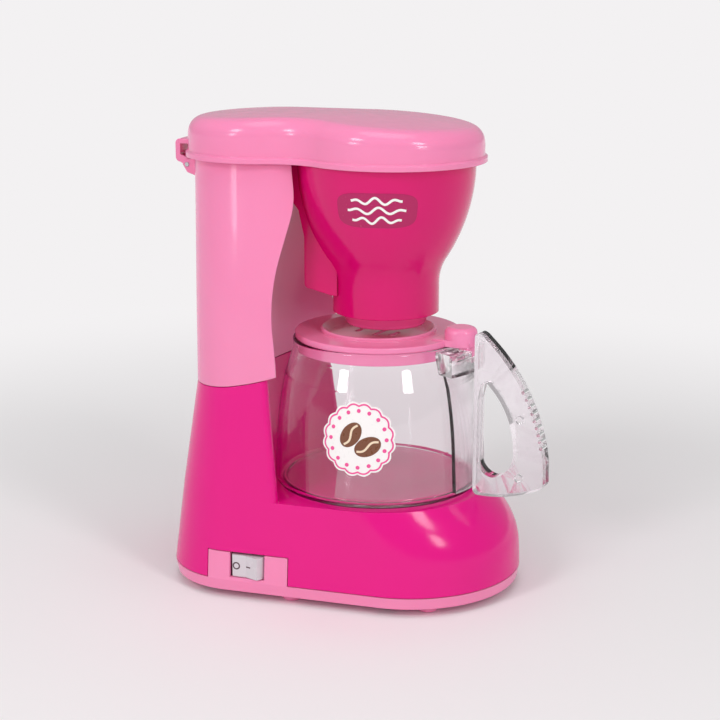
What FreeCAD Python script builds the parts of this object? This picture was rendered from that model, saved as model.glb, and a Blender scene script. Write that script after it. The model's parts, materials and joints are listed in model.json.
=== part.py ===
import FreeCAD, Part
import math
import os

import Sketcher

V = FreeCAD.Vector
doc = FreeCAD.newDocument("toy_coffee_maker")
sheet = doc.addObject("Spreadsheet::Sheet", "sizes")

# Driving dimensions in millimetres and degrees.
# Lengths along Y are measured from the jug's axis, heights from the table.
DIMENSIONS = [
    # General moulding and fit values
    ("wall", 2.0, "wall of every pink moulding"),
    ("seat_gap", 0.3, "gap where two mouldings meet or seat"),
    ("fit_gap", 0.15, "gap round a piece that plugs into another"),
    ("pin_play", 0.05, "running clearance round a pin or shaft, on the radius"),
    ("jug_axis_y", -5.0, "jug axis along Y"),
    ("jug_turn", 12.0, "turn of the jug in its bay, handle towards the switch side"),
    # Base
    ("foot_height", 3.2, ""),
    ("foot_radius", 4.0, ""),
    ("foot_edge", 0.8, "rounded lower edge of a foot"),
    ("seam_level", 7.6, "top of the base plate's rim"),
    ("plate_inset", 0.8, "how far the plate's bottom edge stands in"),
    ("platform_level", 39.4, "where the jug stands"),
    ("shell_top", 90.0, "lower column before its top is cut to the seam"),
    ("base_half_width", 44.2, ""),
    ("platform_half_width", 41.2, ""),
    ("column_half_width", 36.1, ""),
    ("base_rear", 78.5, ""),
    ("platform_rear", 74.3, ""),
    ("column_rear", 66.1, ""),
    ("base_corner", 30.0, "rear corner radius at the bottom"),
    ("platform_corner", 27.0, ""),
    ("column_corner", 21.0, ""),
    ("nose_reach", 56.7, "front of the base at the seam"),
    ("nose_foot_level", 13.5, ""),
    ("nose_foot_reach", 56.5, ""),
    ("nose_low_level", 19.5, ""),
    ("nose_low_reach", 55.9, ""),
    ("nose_mid_level", 27.0, ""),
    ("nose_mid_reach", 53.2, ""),
    ("nose_high_level", 32.6, ""),
    ("nose_high_reach", 49.3, ""),
    ("nose_top_reach", 42.9, ""),
    ("bay_radius", 47.0, "round bay behind the jug"),
    ("bay_edge_radius", 2.2, "rounding of the bay's upright edges"),
    ("column_front", 10.0, "front of the column before the bay is cut"),
    # Switch
    ("panel_front", 22.8, "switch panel, front end"),
    ("panel_rear", 55.3, "switch panel, rear end"),
    ("panel_top", 18.6, ""),
    ("switch_y", 39.1, "middle of the rocker"),
    ("switch_level", 13.5, ""),
    ("switch_width", 14.1, "window in the panel"),
    ("switch_height", 9.3, ""),
    ("rocker_sink", 3.6, "rocker's pivot behind the panel's face"),
    ("rocker_tilt", 10.0, "turn of the rocker from its middle position"),
    ("rocker_notch", 3.4, "dip in the middle of the rocker, from its pivot"),
    ("rocker_crest_out", 4.3, "crest at each end, from the pivot"),
    ("rocker_depth_in", 4.2, "rocker's inner side, from its pivot"),
    ("rocker_pin_radius", 0.8, ""),
    ("housing_wall", 1.0, "switch housing"),
    ("housing_front_x", 41.0, "open face of the housing, behind the panel"),
    # Battery box
    ("cell_radius", 7.1, "AA cell"),
    ("cell_length", 49.5, ""),
    ("cell_nub_radius", 2.7, ""),
    ("cell_nub", 1.0, ""),
    ("cell_front", -33.0, "front end of the cells"),
    ("cell_play", 0.5, ""),
    ("contact_room", 2.6, "space for the contacts at each end of the cells"),
    ("contact_thick", 0.4, ""),
    ("box_wall", 1.4, "walls of the battery box"),
    ("door_thick", 1.8, ""),
    ("door_margin", 3.0, "door beyond the battery well"),
    # Fasteners
    ("screw_radius", 1.3, ""),
    ("screw_head_radius", 2.6, ""),
    ("screw_head", 1.2, ""),
    ("plate_screw_length", 9.0, ""),
    ("hopper_screw_length", 5.2, ""),
    ("boss_radius", 3.6, ""),
    ("boss_top", 30.0, ""),
    ("boss_x", 38.2, ""),
    ("boss_front_y", -15.0, ""),
    ("boss_rear_x", 37.0, ""),
    ("boss_rear_y", 58.0, ""),
    # Tank
    ("seam_rear_level", 80.8, "lowest point of the seam, at the rear"),
    ("seam_arc", 110.0, "radius of the seam's rise to the front"),
    ("seam_low_y", 66.0, "where the seam is lowest"),
    ("tank_front", 20.0, "front of the tank before the bay is cut"),
    ("tank_foot_level", 80.0, ""),
    ("tank_foot_half", 37.0, ""),
    ("tank_foot_front_half", 36.9, ""),
    ("tank_foot_rear", 67.7, ""),
    ("tank_foot_corner", 22.0, ""),
    ("tank_belly_level", 101.0, ""),
    ("tank_belly_half", 36.3, ""),
    ("tank_belly_front_half", 36.0, ""),
    ("tank_belly_rear", 67.8, ""),
    ("tank_belly_corner", 22.0, ""),
    ("tank_waist_level", 121.0, ""),
    ("tank_waist_half", 34.0, ""),
    ("tank_waist_front_half", 30.2, ""),
    ("tank_waist_rear", 69.2, ""),
    ("tank_waist_corner", 24.0, ""),
    ("tank_neck_level", 151.0, ""),
    ("tank_neck_half", 28.5, ""),
    ("tank_neck_front_half", 22.0, ""),
    ("tank_neck_rear", 71.4, ""),
    ("tank_neck_corner", 25.0, ""),
    ("tank_top_level", 165.3, ""),
    ("tank_top_half", 26.0, ""),
    ("tank_top_front_half", 18.5, ""),
    ("tank_top_rear", 72.4, ""),
    ("tank_top_corner", 25.0, ""),
    ("tank_floor", 90.0, "top of the tank's floor"),
    ("dome_start", 102.0, "where the bay starts to close in"),
    ("dome_arc", 90.0, ""),
    ("dome_turn_level", 133.0, ""),
    ("dome_turn_radius", 41.5, ""),
    ("dome_close_level", 145.3, ""),
    ("dome_close_radius", 37.0, ""),
    ("dome_top_arc", 32.8, ""),
    ("dome_top_level", 156.6, ""),
    ("dome_top_radius", 35.0, ""),
    # Hopper and nozzle
    ("hopper_y", -3.0, "hopper axis from the jug axis"),
    ("hopper_wall", 1.8, ""),
    ("hopper_bottom", 107.9, ""),
    ("hopper_neck_radius", 20.4, ""),
    ("hopper_neck_level", 119.0, ""),
    ("hopper_neck_arc", 17.9, ""),
    ("hopper_flare_level", 128.6, ""),
    ("hopper_flare_radius", 23.2, ""),
    ("hopper_flare_arc", 68.3, ""),
    ("hopper_top_radius", 33.9, ""),
    ("hopper_drain_radius", 3.0, ""),
    ("block_half_width", 15.0, "rear block of the hopper"),
    ("block_start_y", 13.9, ""),
    ("block_start_level", 115.1, ""),
    ("block_rear", 24.8, ""),
    ("block_bottom", 117.3, ""),
    ("block_turn_level", 137.0, ""),
    ("block_mid_y", 27.0, ""),
    ("block_mid_level", 147.0, ""),
    ("hopper_screw_x", 8.0, ""),
    ("hopper_screw_level", 160.6, ""),
    ("nozzle_bottom", 102.8, ""),
    ("nozzle_radius", 15.4, ""),
    ("nozzle_top_radius", 17.6, ""),
    ("nozzle_edge", 1.4, ""),
    ("outlet_level", 101.5, ""),
    ("outlet_radius", 4.0, ""),
    ("outlet_bore", 1.6, ""),
    # Top lid
    ("lid_rim", 165.6, "underside of the lid's rim"),
    ("lid_lip_height", 2.2, ""),
    ("lid_lip_out", 1.0, ""),
    ("lid_ledge", 4.5, "width of the ledge that rests on the tank and hopper"),
    ("lid_wall", 1.8, ""),
    ("lid_front_radius", 35.0, ""),
    ("lid_front_y", -5.0, ""),
    ("lid_rear_radius", 28.5, ""),
    ("lid_rear_y", 46.5, ""),
    ("lid_waist_arc", 5.0, ""),
    ("lid_height", 18.0, "lid before its crown is cut"),
    ("lid_crown_radius", 520.0, ""),
    ("lid_crown_top", 182.4, ""),
    ("lid_crown_y", 28.0, ""),
    ("lid_edge_radius", 6.5, ""),
    ("hinge_y", 75.0, "lid hinge axis"),
    ("hinge_level", 161.5, ""),
    ("hinge_pin_radius", 0.8, ""),
    ("hinge_eye_radius", 1.8, ""),
    ("hinge_arm_half", 4.5, ""),
    ("hinge_lug_thick", 2.6, ""),
    ("hinge_lug_top", 164.4, ""),
    ("hinge_lug_bottom", 158.5, ""),
    ("hook_reach", 80.9, ""),
    ("hook_top", 171.0, ""),
    ("hook_thick", 1.9, ""),
    ("hook_low", 163.9, ""),
    # Jug
    ("jug_radius", 40.4, ""),
    ("jug_wall", 1.8, ""),
    ("jug_foot_edge", 3.0, ""),
    ("jug_shoulder_start", 59.0, ""),
    ("jug_shoulder_start_radius", 39.6, ""),
    ("jug_shoulder_radius", 36.2, ""),
    ("jug_shoulder_level", 83.4, ""),
    ("jug_shoulder_arc", 140.0, ""),
    ("jug_neck_radius", 33.0, ""),
    ("jug_neck_level", 94.4, ""),
    ("jug_neck_arc", 10.0, ""),
    ("jug_neck_rise", 3.1, ""),
    ("jug_neck_out", 0.5, ""),
    ("jug_rim", 97.5, ""),
    # Jug lid
    ("flange_radius", 32.1, ""),
    ("flange_thick", 2.0, ""),
    ("plug_depth", 5.0, ""),
    ("plug_gap", 0.4, ""),
    ("bead_radius", 22.4, ""),
    ("bead_width", 2.4, ""),
    ("bead_top", 101.2, ""),
    ("dish_level", 98.7, "top of the dished middle"),
    ("thumb_reach", 35.4, "middle of the thumb bump from the jug's axis"),
    ("thumb_radius", 6.2, ""),
    ("thumb_top", 104.8, ""),
    ("thumb_edge", 2.2, ""),
    ("tab_top", 100.3, ""),
    ("tab_start", 26.0, ""),
    ("knuckle_half", 4.0, ""),
    ("knuckle_radius", 2.0, ""),
    # Handle
    ("saddle_angle", 35.0, ""),
    ("saddle_thick", 1.8, ""),
    ("saddle_bottom", 43.2, ""),
    ("collar_bottom", 88.6, ""),
    ("collar_top", 96.9, ""),
    ("collar_angle", 43.0, ""),
    ("collar_radius", 42.2, ""),
    ("handle_half_thick", 2.9, ""),
    ("handle_inner", 42.5, "inner edge of the grip, from the jug's axis"),
    ("handle_top", 103.6, ""),
    ("handle_bottom", 40.6, ""),
    ("handle_reach", 71.3, ""),
    ("peg_reach", 60.4, ""),
    ("peg_level", 71.8, ""),
    ("peg_low_level", 49.0, ""),
    ("peg_length", 1.8, ""),
    ("peg_radius", 1.5, ""),
    ("lid_pivot_reach", 38.6, ""),
    ("lid_pivot_level", 94.8, ""),
    ("lid_pivot_radius", 0.9, ""),
    ("lid_pivot_half_length", 8.0, ""),
    # Pump
    ("pump_x", 14.0, ""),
    ("pump_y", 58.0, ""),
    ("motor_radius", 8.0, ""),
    ("motor_top", 29.0, ""),
    ("pump_wall", 1.4, ""),
    ("skirt_bottom", 22.0, "pump housing's skirt round the motor"),
    ("chamber_bottom", 31.0, ""),
    ("chamber_top", 39.0, ""),
    ("shaft_radius", 1.0, ""),
    ("shaft_bottom", 24.0, ""),
    ("impeller_radius", 7.4, ""),
    ("vane_height", 4.6, ""),
    ("tube_radius", 2.6, ""),
    ("tube_bore", 1.7, ""),
    ("tube_bend", 8.0, ""),
    ("spigot_top", 46.0, ""),
    ("outlet_shift", 5.4, "pump outlet from the pump's axis"),
    ("tube_crest", 169.7, "middle of the delivery tube over the tank's edge"),
    ("tube_drop_y", 18.0, ""),
    ("tube_end", 152.0, "end of the delivery tube in the hopper"),
]


class Length:
    """A number from the sheet, together with the formula that gives it."""

    def __init__(self, value, formula):
        self.value = float(value)
        self.formula = formula

    def join(self, other, sign, value):
        return Length(value, "(" + self.formula + sign + as_length(other).formula + ")")

    def __add__(self, other):
        return self.join(other, " + ", self.value + as_length(other).value)

    def __radd__(self, other):
        return as_length(other) + self

    def __sub__(self, other):
        return self.join(other, " - ", self.value - as_length(other).value)

    def __rsub__(self, other):
        return as_length(other) - self

    def __mul__(self, other):
        return self.join(other, " * ", self.value * as_length(other).value)

    def __rmul__(self, other):
        return as_length(other) * self

    def __truediv__(self, other):
        return self.join(other, " / ", self.value / as_length(other).value)

    def __neg__(self):
        return Length(-self.value, "(-1 * " + self.formula + ")")


def as_length(number):
    if isinstance(number, Length):
        return number
    return Length(number, repr(float(number)))


size = {}
for row, (alias, number, note) in enumerate(DIMENSIONS, start=1):
    sheet.set("A%d" % row, alias)
    sheet.set("B%d" % row, str(number))
    sheet.set("C%d" % row, note)
    sheet.setAlias("B%d" % row, alias)
    size[alias] = Length(number, "sizes." + alias)
doc.recompute()


def S(alias):
    return size[alias]


wall = S("wall")
seat_gap = S("seat_gap")
fit_gap = S("fit_gap")


def new_body(label, turned=False):
    """A body whose own Z axis is the jug's axis, turned with the jug where asked."""
    body = doc.addObject("PartDesign::Body", label)
    body.Label = label
    if turned:
        body.Placement = FreeCAD.Placement(V(0, 0, 0), FreeCAD.Rotation(V(0, 0, 1), -1))
        body.setExpression("Placement.Rotation.Angle", "-1 * sizes.jug_turn")
    body.setExpression("Placement.Base.y", "sizes.jug_axis_y")
    return body


def origin_plane(body, role):
    return next(f for f in body.Origin.OriginFeatures if f.Role == role)


def new_sketch(body, name, role, offset=0.0):
    sketch = body.newObject("Sketcher::SketchObject", name)
    sketch.AttachmentSupport = [(origin_plane(body, role), "")]
    sketch.MapMode = "FlatFace"
    offset = as_length(offset)
    sketch.AttachmentOffset = FreeCAD.Placement(V(0, 0, offset.value), FreeCAD.Rotation())
    if "sizes." in offset.formula:
        sketch.setExpression("AttachmentOffset.Base.z", offset.formula)
    return sketch


def bind(sketch, kind, references, length):
    """A driving constraint that follows the sheet."""
    length = as_length(length)
    index = sketch.addConstraint(Sketcher.Constraint(kind, *references, length.value))
    if "sizes." in length.formula:
        sketch.setExpression("Constraints[%d]" % index, length.formula)


def place_point(sketch, geometry, position, x, y):
    for kind, axis, length in (("DistanceX", -2, as_length(x)), ("DistanceY", -1, as_length(y))):
        if length.formula == repr(0.0):
            sketch.addConstraint(Sketcher.Constraint("PointOnObject", geometry, position, axis))
        else:
            bind(sketch, kind, (-1, 1, geometry, position), length)


def arc_between(start, end, radius):
    """An arc from start to end; a positive radius turns left, a negative one right."""
    middle = (start + end) * 0.5
    half = end.sub(start).Length / 2
    rise = math.sqrt(max(radius * radius - half * half, 0.0))
    left = V(-(end.y - start.y), end.x - start.x, 0).normalize()
    centre = middle + left * (rise if radius > 0 else -rise)
    first, last = (start, end) if radius > 0 else (end, start)
    from_angle = math.atan2(first.y - centre.y, first.x - centre.x)
    to_angle = math.atan2(last.y - centre.y, last.x - centre.x)
    if to_angle <= from_angle:
        to_angle += 2 * math.pi
    circle = Part.Circle(centre, V(0, 0, 1), abs(radius))
    return Part.ArcOfCircle(circle, from_angle, to_angle)


def outline(sketch, nodes):
    """A closed outline: each node is (x, y), or (x, y, radius) where an arc leaves it."""
    places = [V(as_length(n[0]).value, as_length(n[1]).value, 0) for n in nodes]
    ends = []
    for i, node in enumerate(nodes):
        start, end = places[i], places[(i + 1) % len(nodes)]
        if len(node) == 3:
            radius = as_length(node[2])
            geometry = sketch.addGeometry(arc_between(start, end, radius.value), False)
            turned = radius.value < 0
            ends.append((geometry, 2 if turned else 1, 1 if turned else 2))
            bind(sketch, "Radius", (geometry,), -radius if turned else radius)
        else:
            geometry = sketch.addGeometry(Part.LineSegment(start, end), False)
            ends.append((geometry, 1, 2))
    for i, (geometry, first, last) in enumerate(ends):
        following, its_first, its_last = ends[(i + 1) % len(ends)]
        sketch.addConstraint(Sketcher.Constraint("Coincident", geometry, last, following, its_first))
        place_point(sketch, geometry, first, nodes[i][0], nodes[i][1])


def ring(sketch, x, y, radius):
    """A full circle."""
    x, y, radius = as_length(x), as_length(y), as_length(radius)
    geometry = sketch.addGeometry(Part.Circle(V(x.value, y.value, 0), V(0, 0, 1), radius.value), False)
    place_point(sketch, geometry, 3, x, y)
    bind(sketch, "Radius", (geometry,), radius)


def box_nodes(x_low, y_low, x_high, y_high):
    return [(x_low, y_low), (x_high, y_low), (x_high, y_high), (x_low, y_high)]


def set_length(feature, name, length):
    length = as_length(length)
    setattr(feature, name, length.value)
    if "sizes." in length.formula:
        feature.setExpression(name, length.formula)


def pad(body, sketch, length, symmetric=False, taper=0.0):
    feature = body.newObject("PartDesign::Pad", sketch.Name + "_pad")
    feature.Profile = sketch
    set_length(feature, "Length", length)
    if symmetric:
        feature.SideType = "Symmetric"
    feature.TaperAngle = taper
    return feature


def pocket(body, sketch, length, symmetric=False, reverse=False):
    """Cuts against the sketch's normal, or along it with reverse."""
    feature = body.newObject("PartDesign::Pocket", sketch.Name + "_pocket")
    feature.Profile = sketch
    set_length(feature, "Length", length)
    if symmetric:
        feature.SideType = "Symmetric"
    feature.Reversed = reverse
    return feature


def spin_sketch(body, name, nodes, axis=0.0):
    """A half profile in the YZ plane with its upright turning axis."""
    sketch = new_sketch(body, name, "YZ_Plane")
    outline(sketch, nodes)
    axis = as_length(axis)
    line = Part.LineSegment(V(axis.value, 0, 0), V(axis.value, 10, 0))
    centre = sketch.addGeometry(line, True)
    sketch.addConstraint(Sketcher.Constraint("Vertical", centre))
    place_point(sketch, centre, 1, axis, 0.0)
    bind(sketch, "DistanceY", (centre, 1, centre, 2), 10.0)
    return sketch


def revolve(body, name, nodes, axis=0.0, angle=360.0, cut=False):
    sketch = spin_sketch(body, name, nodes, axis)
    kind = "PartDesign::Groove" if cut else "PartDesign::Revolution"
    feature = body.newObject(kind, name + ("_groove" if cut else "_turned"))
    feature.Profile = sketch
    feature.ReferenceAxis = (sketch, ["Axis0"])
    set_length(feature, "Angle", angle)
    feature.Midplane = as_length(angle).value < 360
    return feature


def loft(body, name, sections, ruled=False, cut=False):
    """Sections are (level, outline nodes) from the bottom up."""
    sketches = []
    for number, (level, nodes) in enumerate(sections):
        sketch = new_sketch(body, "%s_section_%d" % (name, number + 1), "XY_Plane", level)
        outline(sketch, nodes)
        sketches.append(sketch)
    kind = "PartDesign::SubtractiveLoft" if cut else "PartDesign::AdditiveLoft"
    feature = body.newObject(kind, name + "_loft")
    feature.Profile = sketches[0]
    feature.Sections = sketches[1:]
    feature.Ruled = ruled
    return feature


def edges_where(shape, test):
    return ["Edge%d" % (i + 1) for i, edge in enumerate(shape.Edges) if test(edge)]


def fillet(body, base, radius, test):
    """Rounds the edges of base that pass the test."""
    doc.recompute()
    names = edges_where(base.Shape, test)
    feature = body.newObject("PartDesign::Fillet", base.Name + "_fillet")
    feature.Base = (base, names)
    set_length(feature, "Radius", radius)
    return feature


def boolean(kind, label, base, tool, refine=True):
    feature = doc.addObject("Part::" + kind, label)
    feature.Label = label
    feature.Base = base
    feature.Tool = tool
    feature.Refine = refine
    return feature


def joined(label, shapes, refine=True):
    feature = doc.addObject("Part::MultiFuse", label)
    feature.Label = label
    feature.Shapes = shapes
    feature.Refine = refine
    return feature


nodes_made = []


def finish(feature):
    """Marks an object as a finished sub-part."""
    nodes_made.append(feature)
    return feature


def root(length):
    """Square root of a length's number."""
    return Length(math.sqrt(length.value), "sqrt(" + length.formula + ")")


def place(obj, x=0.0, y=0.0, z=0.0, axis=None, angle=0.0):
    """Puts an object at a point that follows the sheet, turned about an axis."""
    obj.Placement = FreeCAD.Placement(V(0, 0, 0), FreeCAD.Rotation(axis or V(0, 0, 1), angle))
    for name, length in (("x", x), ("y", y), ("z", z)):
        length = as_length(length)
        setattr(obj.Placement.Base, name, length.value)
        obj.setExpression("Placement.Base." + name, length.formula)


def solid(kind, label, **sizes):
    """A Part primitive whose sizes follow the sheet."""
    obj = doc.addObject("Part::" + kind, label)
    obj.Label = label
    for name, length in sizes.items():
        set_length(obj, name, length)
    return obj


def cylinder(label, radius, height, x, y, z, axis=None, angle=0.0):
    obj = solid("Cylinder", label, Radius=radius, Height=height)
    place(obj, x, y, z, axis, angle)
    return obj


def slab(label, x_low, x_high, y_low, y_high, z_low, z_high):
    """A block between named faces; its Y faces are measured from the jug's axis."""
    x_low, y_low, z_low = as_length(x_low), as_length(y_low), as_length(z_low)
    obj = solid("Box", label, Length=x_high - x_low, Width=y_high - y_low, Height=z_high - z_low)
    place(obj, x_low, y_low + S("jug_axis_y"), z_low)
    return obj


def group(label, shapes):
    obj = doc.addObject("Part::Compound", label)
    obj.Label = label
    obj.Links = shapes
    return obj


jug_y = S("jug_axis_y")
plate_top = S("foot_height") + wall

# Outlines seen from above


def base_plan(half_width, reach, rear, corner):
    """A round nose, straight sides and rounded rear corners."""
    side = half_width - corner
    middle = half_width - reach
    return [
        (-half_width, middle, half_width),
        (0.0, -reach, half_width),
        (half_width, middle),
        (half_width, rear - corner, corner),
        (side, rear),
        (-side, rear, corner),
        (-half_width, rear - corner),
    ]


def column_plan(half_width, front, rear, corner):
    """Straight front and sides and rounded rear corners."""
    side = half_width - corner
    return [
        (-half_width, front),
        (half_width, front),
        (half_width, rear - corner, corner),
        (side, rear),
        (-side, rear, corner),
        (-half_width, rear - corner),
    ]


def tank_plan(half_width, front_half, front, rear, corner):
    """Sides that curve in towards the front, tangent to the rounded rear corners."""
    side = half_width - corner
    widest = rear - corner
    draw_in = half_width - front_half
    length = widest - front
    bow = (draw_in * draw_in + length * length) / (2 * draw_in)
    return [
        (-front_half, front),
        (front_half, front, bow),
        (half_width, widest, corner),
        (side, rear),
        (-side, rear, corner),
        (-half_width, widest, bow),
    ]


def lid_plan(out):
    """A large front lobe and a smaller rear lobe joined by two hollow waist arcs."""
    front, rear = S("lid_front_radius") + out, S("lid_rear_radius") + out
    waist = S("lid_waist_arc") - out
    front_y, rear_y = S("lid_front_y"), S("lid_rear_y")
    span = rear_y - front_y
    to_front, to_rear = front + waist, rear + waist
    along = (to_front * to_front - to_rear * to_rear + span * span) / (2 * span)
    across = root(to_front * to_front - along * along)
    front_x, front_touch = front / to_front * across, front_y + front / to_front * along
    rear_x, rear_touch = rear / to_rear * across, rear_y - rear / to_rear * (span - along)
    return [
        (0.0, front_y - front, front),
        (front, front_y, front),
        (front_x, front_touch, -waist),
        (rear_x, rear_touch, rear),
        (rear, rear_y, rear),
        (0.0, rear_y + rear, rear),
        (-rear, rear_y, rear),
        (-rear_x, rear_touch, -waist),
        (-front_x, front_touch, front),
        (-front, front_y, front),
    ]


def between(low, high, share):
    return low + (high - low) * share


def base_section(level, reach, inset, lean=1.0):
    """The base's outline at a level; lean widens the inset where the nose slopes."""
    share = (level - S("seam_level")) / (S("platform_level") - S("seam_level"))
    half_width = between(S("base_half_width"), S("platform_half_width"), share) - inset
    rear = between(S("base_rear"), S("platform_rear"), share) - inset
    corner = between(S("base_corner"), S("platform_corner"), share) - inset
    return base_plan(half_width, reach - lean * inset, rear, corner)


def column_section(level, front, inset):
    share = (level - S("platform_level")) / (S("shell_top") - S("platform_level"))
    half_width = between(S("platform_half_width"), S("column_half_width"), share) - inset
    rear = between(S("platform_rear"), S("column_rear"), share) - inset
    corner = between(S("platform_corner"), S("column_corner"), share) - inset
    return column_plan(half_width, front, rear, corner)


# Side profiles


def seam_profile(side):
    """The region above (side 1) or below (side -1) the seam, seen from the side."""
    gap = seat_gap / 2 * side
    low_y, level, radius = S("seam_low_y"), S("seam_rear_level") + gap, S("seam_arc") - gap
    front = -S("column_front")
    run = low_y - front
    front_level = level + radius - root(radius * radius - run * run)
    behind, above, below = 2 * low_y, S("lid_crown_top"), -S("column_front")
    if side > 0:
        return [(front, front_level, radius), (low_y, level), (behind, level), (behind, above),
                (front, above)]
    return [(front, front_level, radius), (low_y, level), (behind, level), (behind, below),
            (-behind, below), (-behind, front_level)]


def dome_profile(out, low, high, closed_to):
    """The bay's wall from low to high, grown by out, closed at a radius."""
    return [
        (closed_to, low),
        (S("bay_radius") + out, low),
        (S("bay_radius") + out, S("dome_start"), S("dome_arc") + out),
        (S("dome_turn_radius") + out, S("dome_turn_level")),
        (S("dome_close_radius") + out, S("dome_close_level"), out - S("dome_top_arc")),
        (S("dome_top_radius") + out, S("dome_top_level")),
        (S("dome_top_radius") + out, high),
        (closed_to, high),
    ]


def hopper_outside(inset, low, high, start):
    """The hopper's profile outward from start, drawn in by inset."""
    y = S("hopper_y")
    flare = S("hopper_flare_radius") - inset
    return [
        (y + start, low),
        (y + S("hopper_neck_radius") - inset, low),
        (y + S("hopper_neck_radius") - inset, S("hopper_neck_level"), -S("hopper_neck_arc") - inset),
        (y + flare, S("hopper_flare_level"), S("hopper_flare_arc") - inset),
        (y + S("hopper_top_radius") - inset, S("tank_top_level")),
        (y + S("hopper_top_radius") - inset, high),
        (y + start, high),
    ]


# Base shell

# Heights where the nose is shaped, with how much its lean widens the wall seen from above
NOSE = [("nose_foot", 1.0), ("nose_low", 1.05), ("nose_mid", 1.12), ("nose_high", 1.3)]


def base_block(label, inset):
    """The base up to the platform as one solid, drawn in by inset."""
    body = new_body(label)
    sections = [(S("seam_level"), base_section(S("seam_level"), S("nose_reach"), inset))]
    for name, lean in NOSE:
        level = S(name + "_level")
        sections.append((level, base_section(level, S(name + "_reach"), inset, lean)))
    top = S("platform_level") - inset
    sections.append((top, base_section(top, S("nose_top_reach"), inset, 0.6)))
    loft(body, label, sections)
    return body


def column_block(label, inset, sink):
    """The lower column with its round bay, drawn in by inset and sunk into the base."""
    body = new_body(label)
    low, high = S("platform_level") - sink, S("shell_top") + 2 * inset
    front = S("column_front")
    loft(body, label,
         [(low, column_section(low, front, inset)), (high, column_section(high, front, inset))],
         ruled=True)
    bay = new_sketch(body, label + "_bay", "XY_Plane", low)
    ring(bay, 0.0, 0.0, S("bay_radius") + inset)
    return body, pocket(body, bay, S("shell_top"), reverse=True)


def bay_corner(edge):
    """An upright edge where the bay meets a side."""
    box = edge.BoundBox
    return box.ZLength > box.YLength and box.ZLength > box.XLength and abs(box.Center.x) > 10 \
        and edge.Curve.TypeId != "Part::GeomLine" and box.Center.y < 40


base_outer = base_block("base_outer", as_length(0.0))
base_inner = base_block("base_inner", wall)
column_outer, column_bay = column_block("column_outer", as_length(0.0), as_length(0.0))
fillet(column_outer, column_bay, S("bay_edge_radius"), bay_corner)
column_inner, _ = column_block("column_inner", wall, 2 * wall)
shell_outer = joined("shell_outer", [base_outer, column_outer])
shell_inner = joined("shell_inner", [base_inner, column_inner])
shell_walls = boolean("Cut", "shell_walls", shell_outer, shell_inner)

below_seam = new_body("below_seam")
sketch = new_sketch(below_seam, "below_seam_profile", "YZ_Plane")
outline(sketch, seam_profile(-1))
pad(below_seam, sketch, S("base_half_width") * 3, symmetric=True)

# The part of the wall that belongs to the base plate, and the larger notch cut for it
deep = S("base_half_width") * 2
panel_block = slab("panel_block", -deep, -S("base_half_width") / 2, S("panel_front"),
                   S("panel_rear"), S("seam_level"), S("panel_top"))
panel_notch = slab("panel_notch", -deep, -S("base_half_width") / 2, S("panel_front") - seat_gap,
                   S("panel_rear") + seat_gap, 0.0, S("panel_top") + seat_gap)
seam_gap = slab("seam_gap", -deep, deep, -deep, deep * 2, 0.0, S("seam_level") + seat_gap)

BOSSES = [("boss_x", "boss_front_y"), ("boss_rear_x", "boss_rear_y")]
screw_places = [(side * S(x), S(y)) for x, y in BOSSES for side in (1.0, -1.0)]
boss_foot = plate_top + seat_gap


def bosses(label, radius, low, high):
    """One upright cylinder at each plate screw."""
    return joined(label, [
        cylinder("%s_%d" % (label, n + 1), radius, high - low, x, y + jug_y, low)
        for n, (x, y) in enumerate(screw_places)])


shell_lower = boolean("Common", "shell_lower", shell_walls, below_seam)
boss_posts = boolean("Common", "boss_posts",
                     bosses("boss_blanks", S("boss_radius"), boss_foot, S("boss_top")), shell_outer)
boss_holes = bosses("boss_holes", S("screw_radius") + S("pin_play"), as_length(0.0),
                    S("foot_height") + S("plate_screw_length") + wall)
shell_with_bosses = joined("shell_with_bosses", [shell_lower, boss_posts])
shell_cuts = joined("shell_cuts", [panel_notch, seam_gap, boss_holes])
base_shell = finish(boolean("Cut", "base_shell", shell_with_bosses, shell_cuts))


# Base plate with the switch panel and the battery box

cell_level = S("foot_height") + S("door_thick") + S("cell_play") + S("cell_radius") + seat_gap
cell_x = S("cell_radius") + S("cell_play")
well_half = 2 * S("cell_radius") + 2 * S("cell_play")
well_front = S("cell_front") - S("contact_room")
well_rear = S("cell_front") + S("cell_length") + S("contact_room")
well_top = cell_level + S("cell_radius") + S("cell_play")
door_level = S("foot_height") + S("door_thick") + seat_gap
door_half = well_half + S("door_margin")
door_front, door_rear = well_front - S("door_margin"), well_rear + 3 * S("door_margin")
door_screw_y = door_rear - 1.5 * S("door_margin")

plate_outer = new_body("plate_outer")
plate_low = base_plan(S("base_half_width") - S("plate_inset"), S("nose_reach") - S("plate_inset"),
                      S("base_rear") - S("plate_inset"), S("base_corner") - S("plate_inset"))
loft(plate_outer, "plate_rim",
     [(S("foot_height"), plate_low),
      (S("seam_level"), base_section(S("seam_level"), S("nose_reach"), as_length(0.0)))])


def plate_pad(body, name, level, inset, height):
    """A block with the base's outline drawn in by inset."""
    sketch = new_sketch(body, name, "XY_Plane", level)
    outline(sketch, base_section(S("seam_level"), S("nose_reach"), inset))
    return pad(body, sketch, height)


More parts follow.
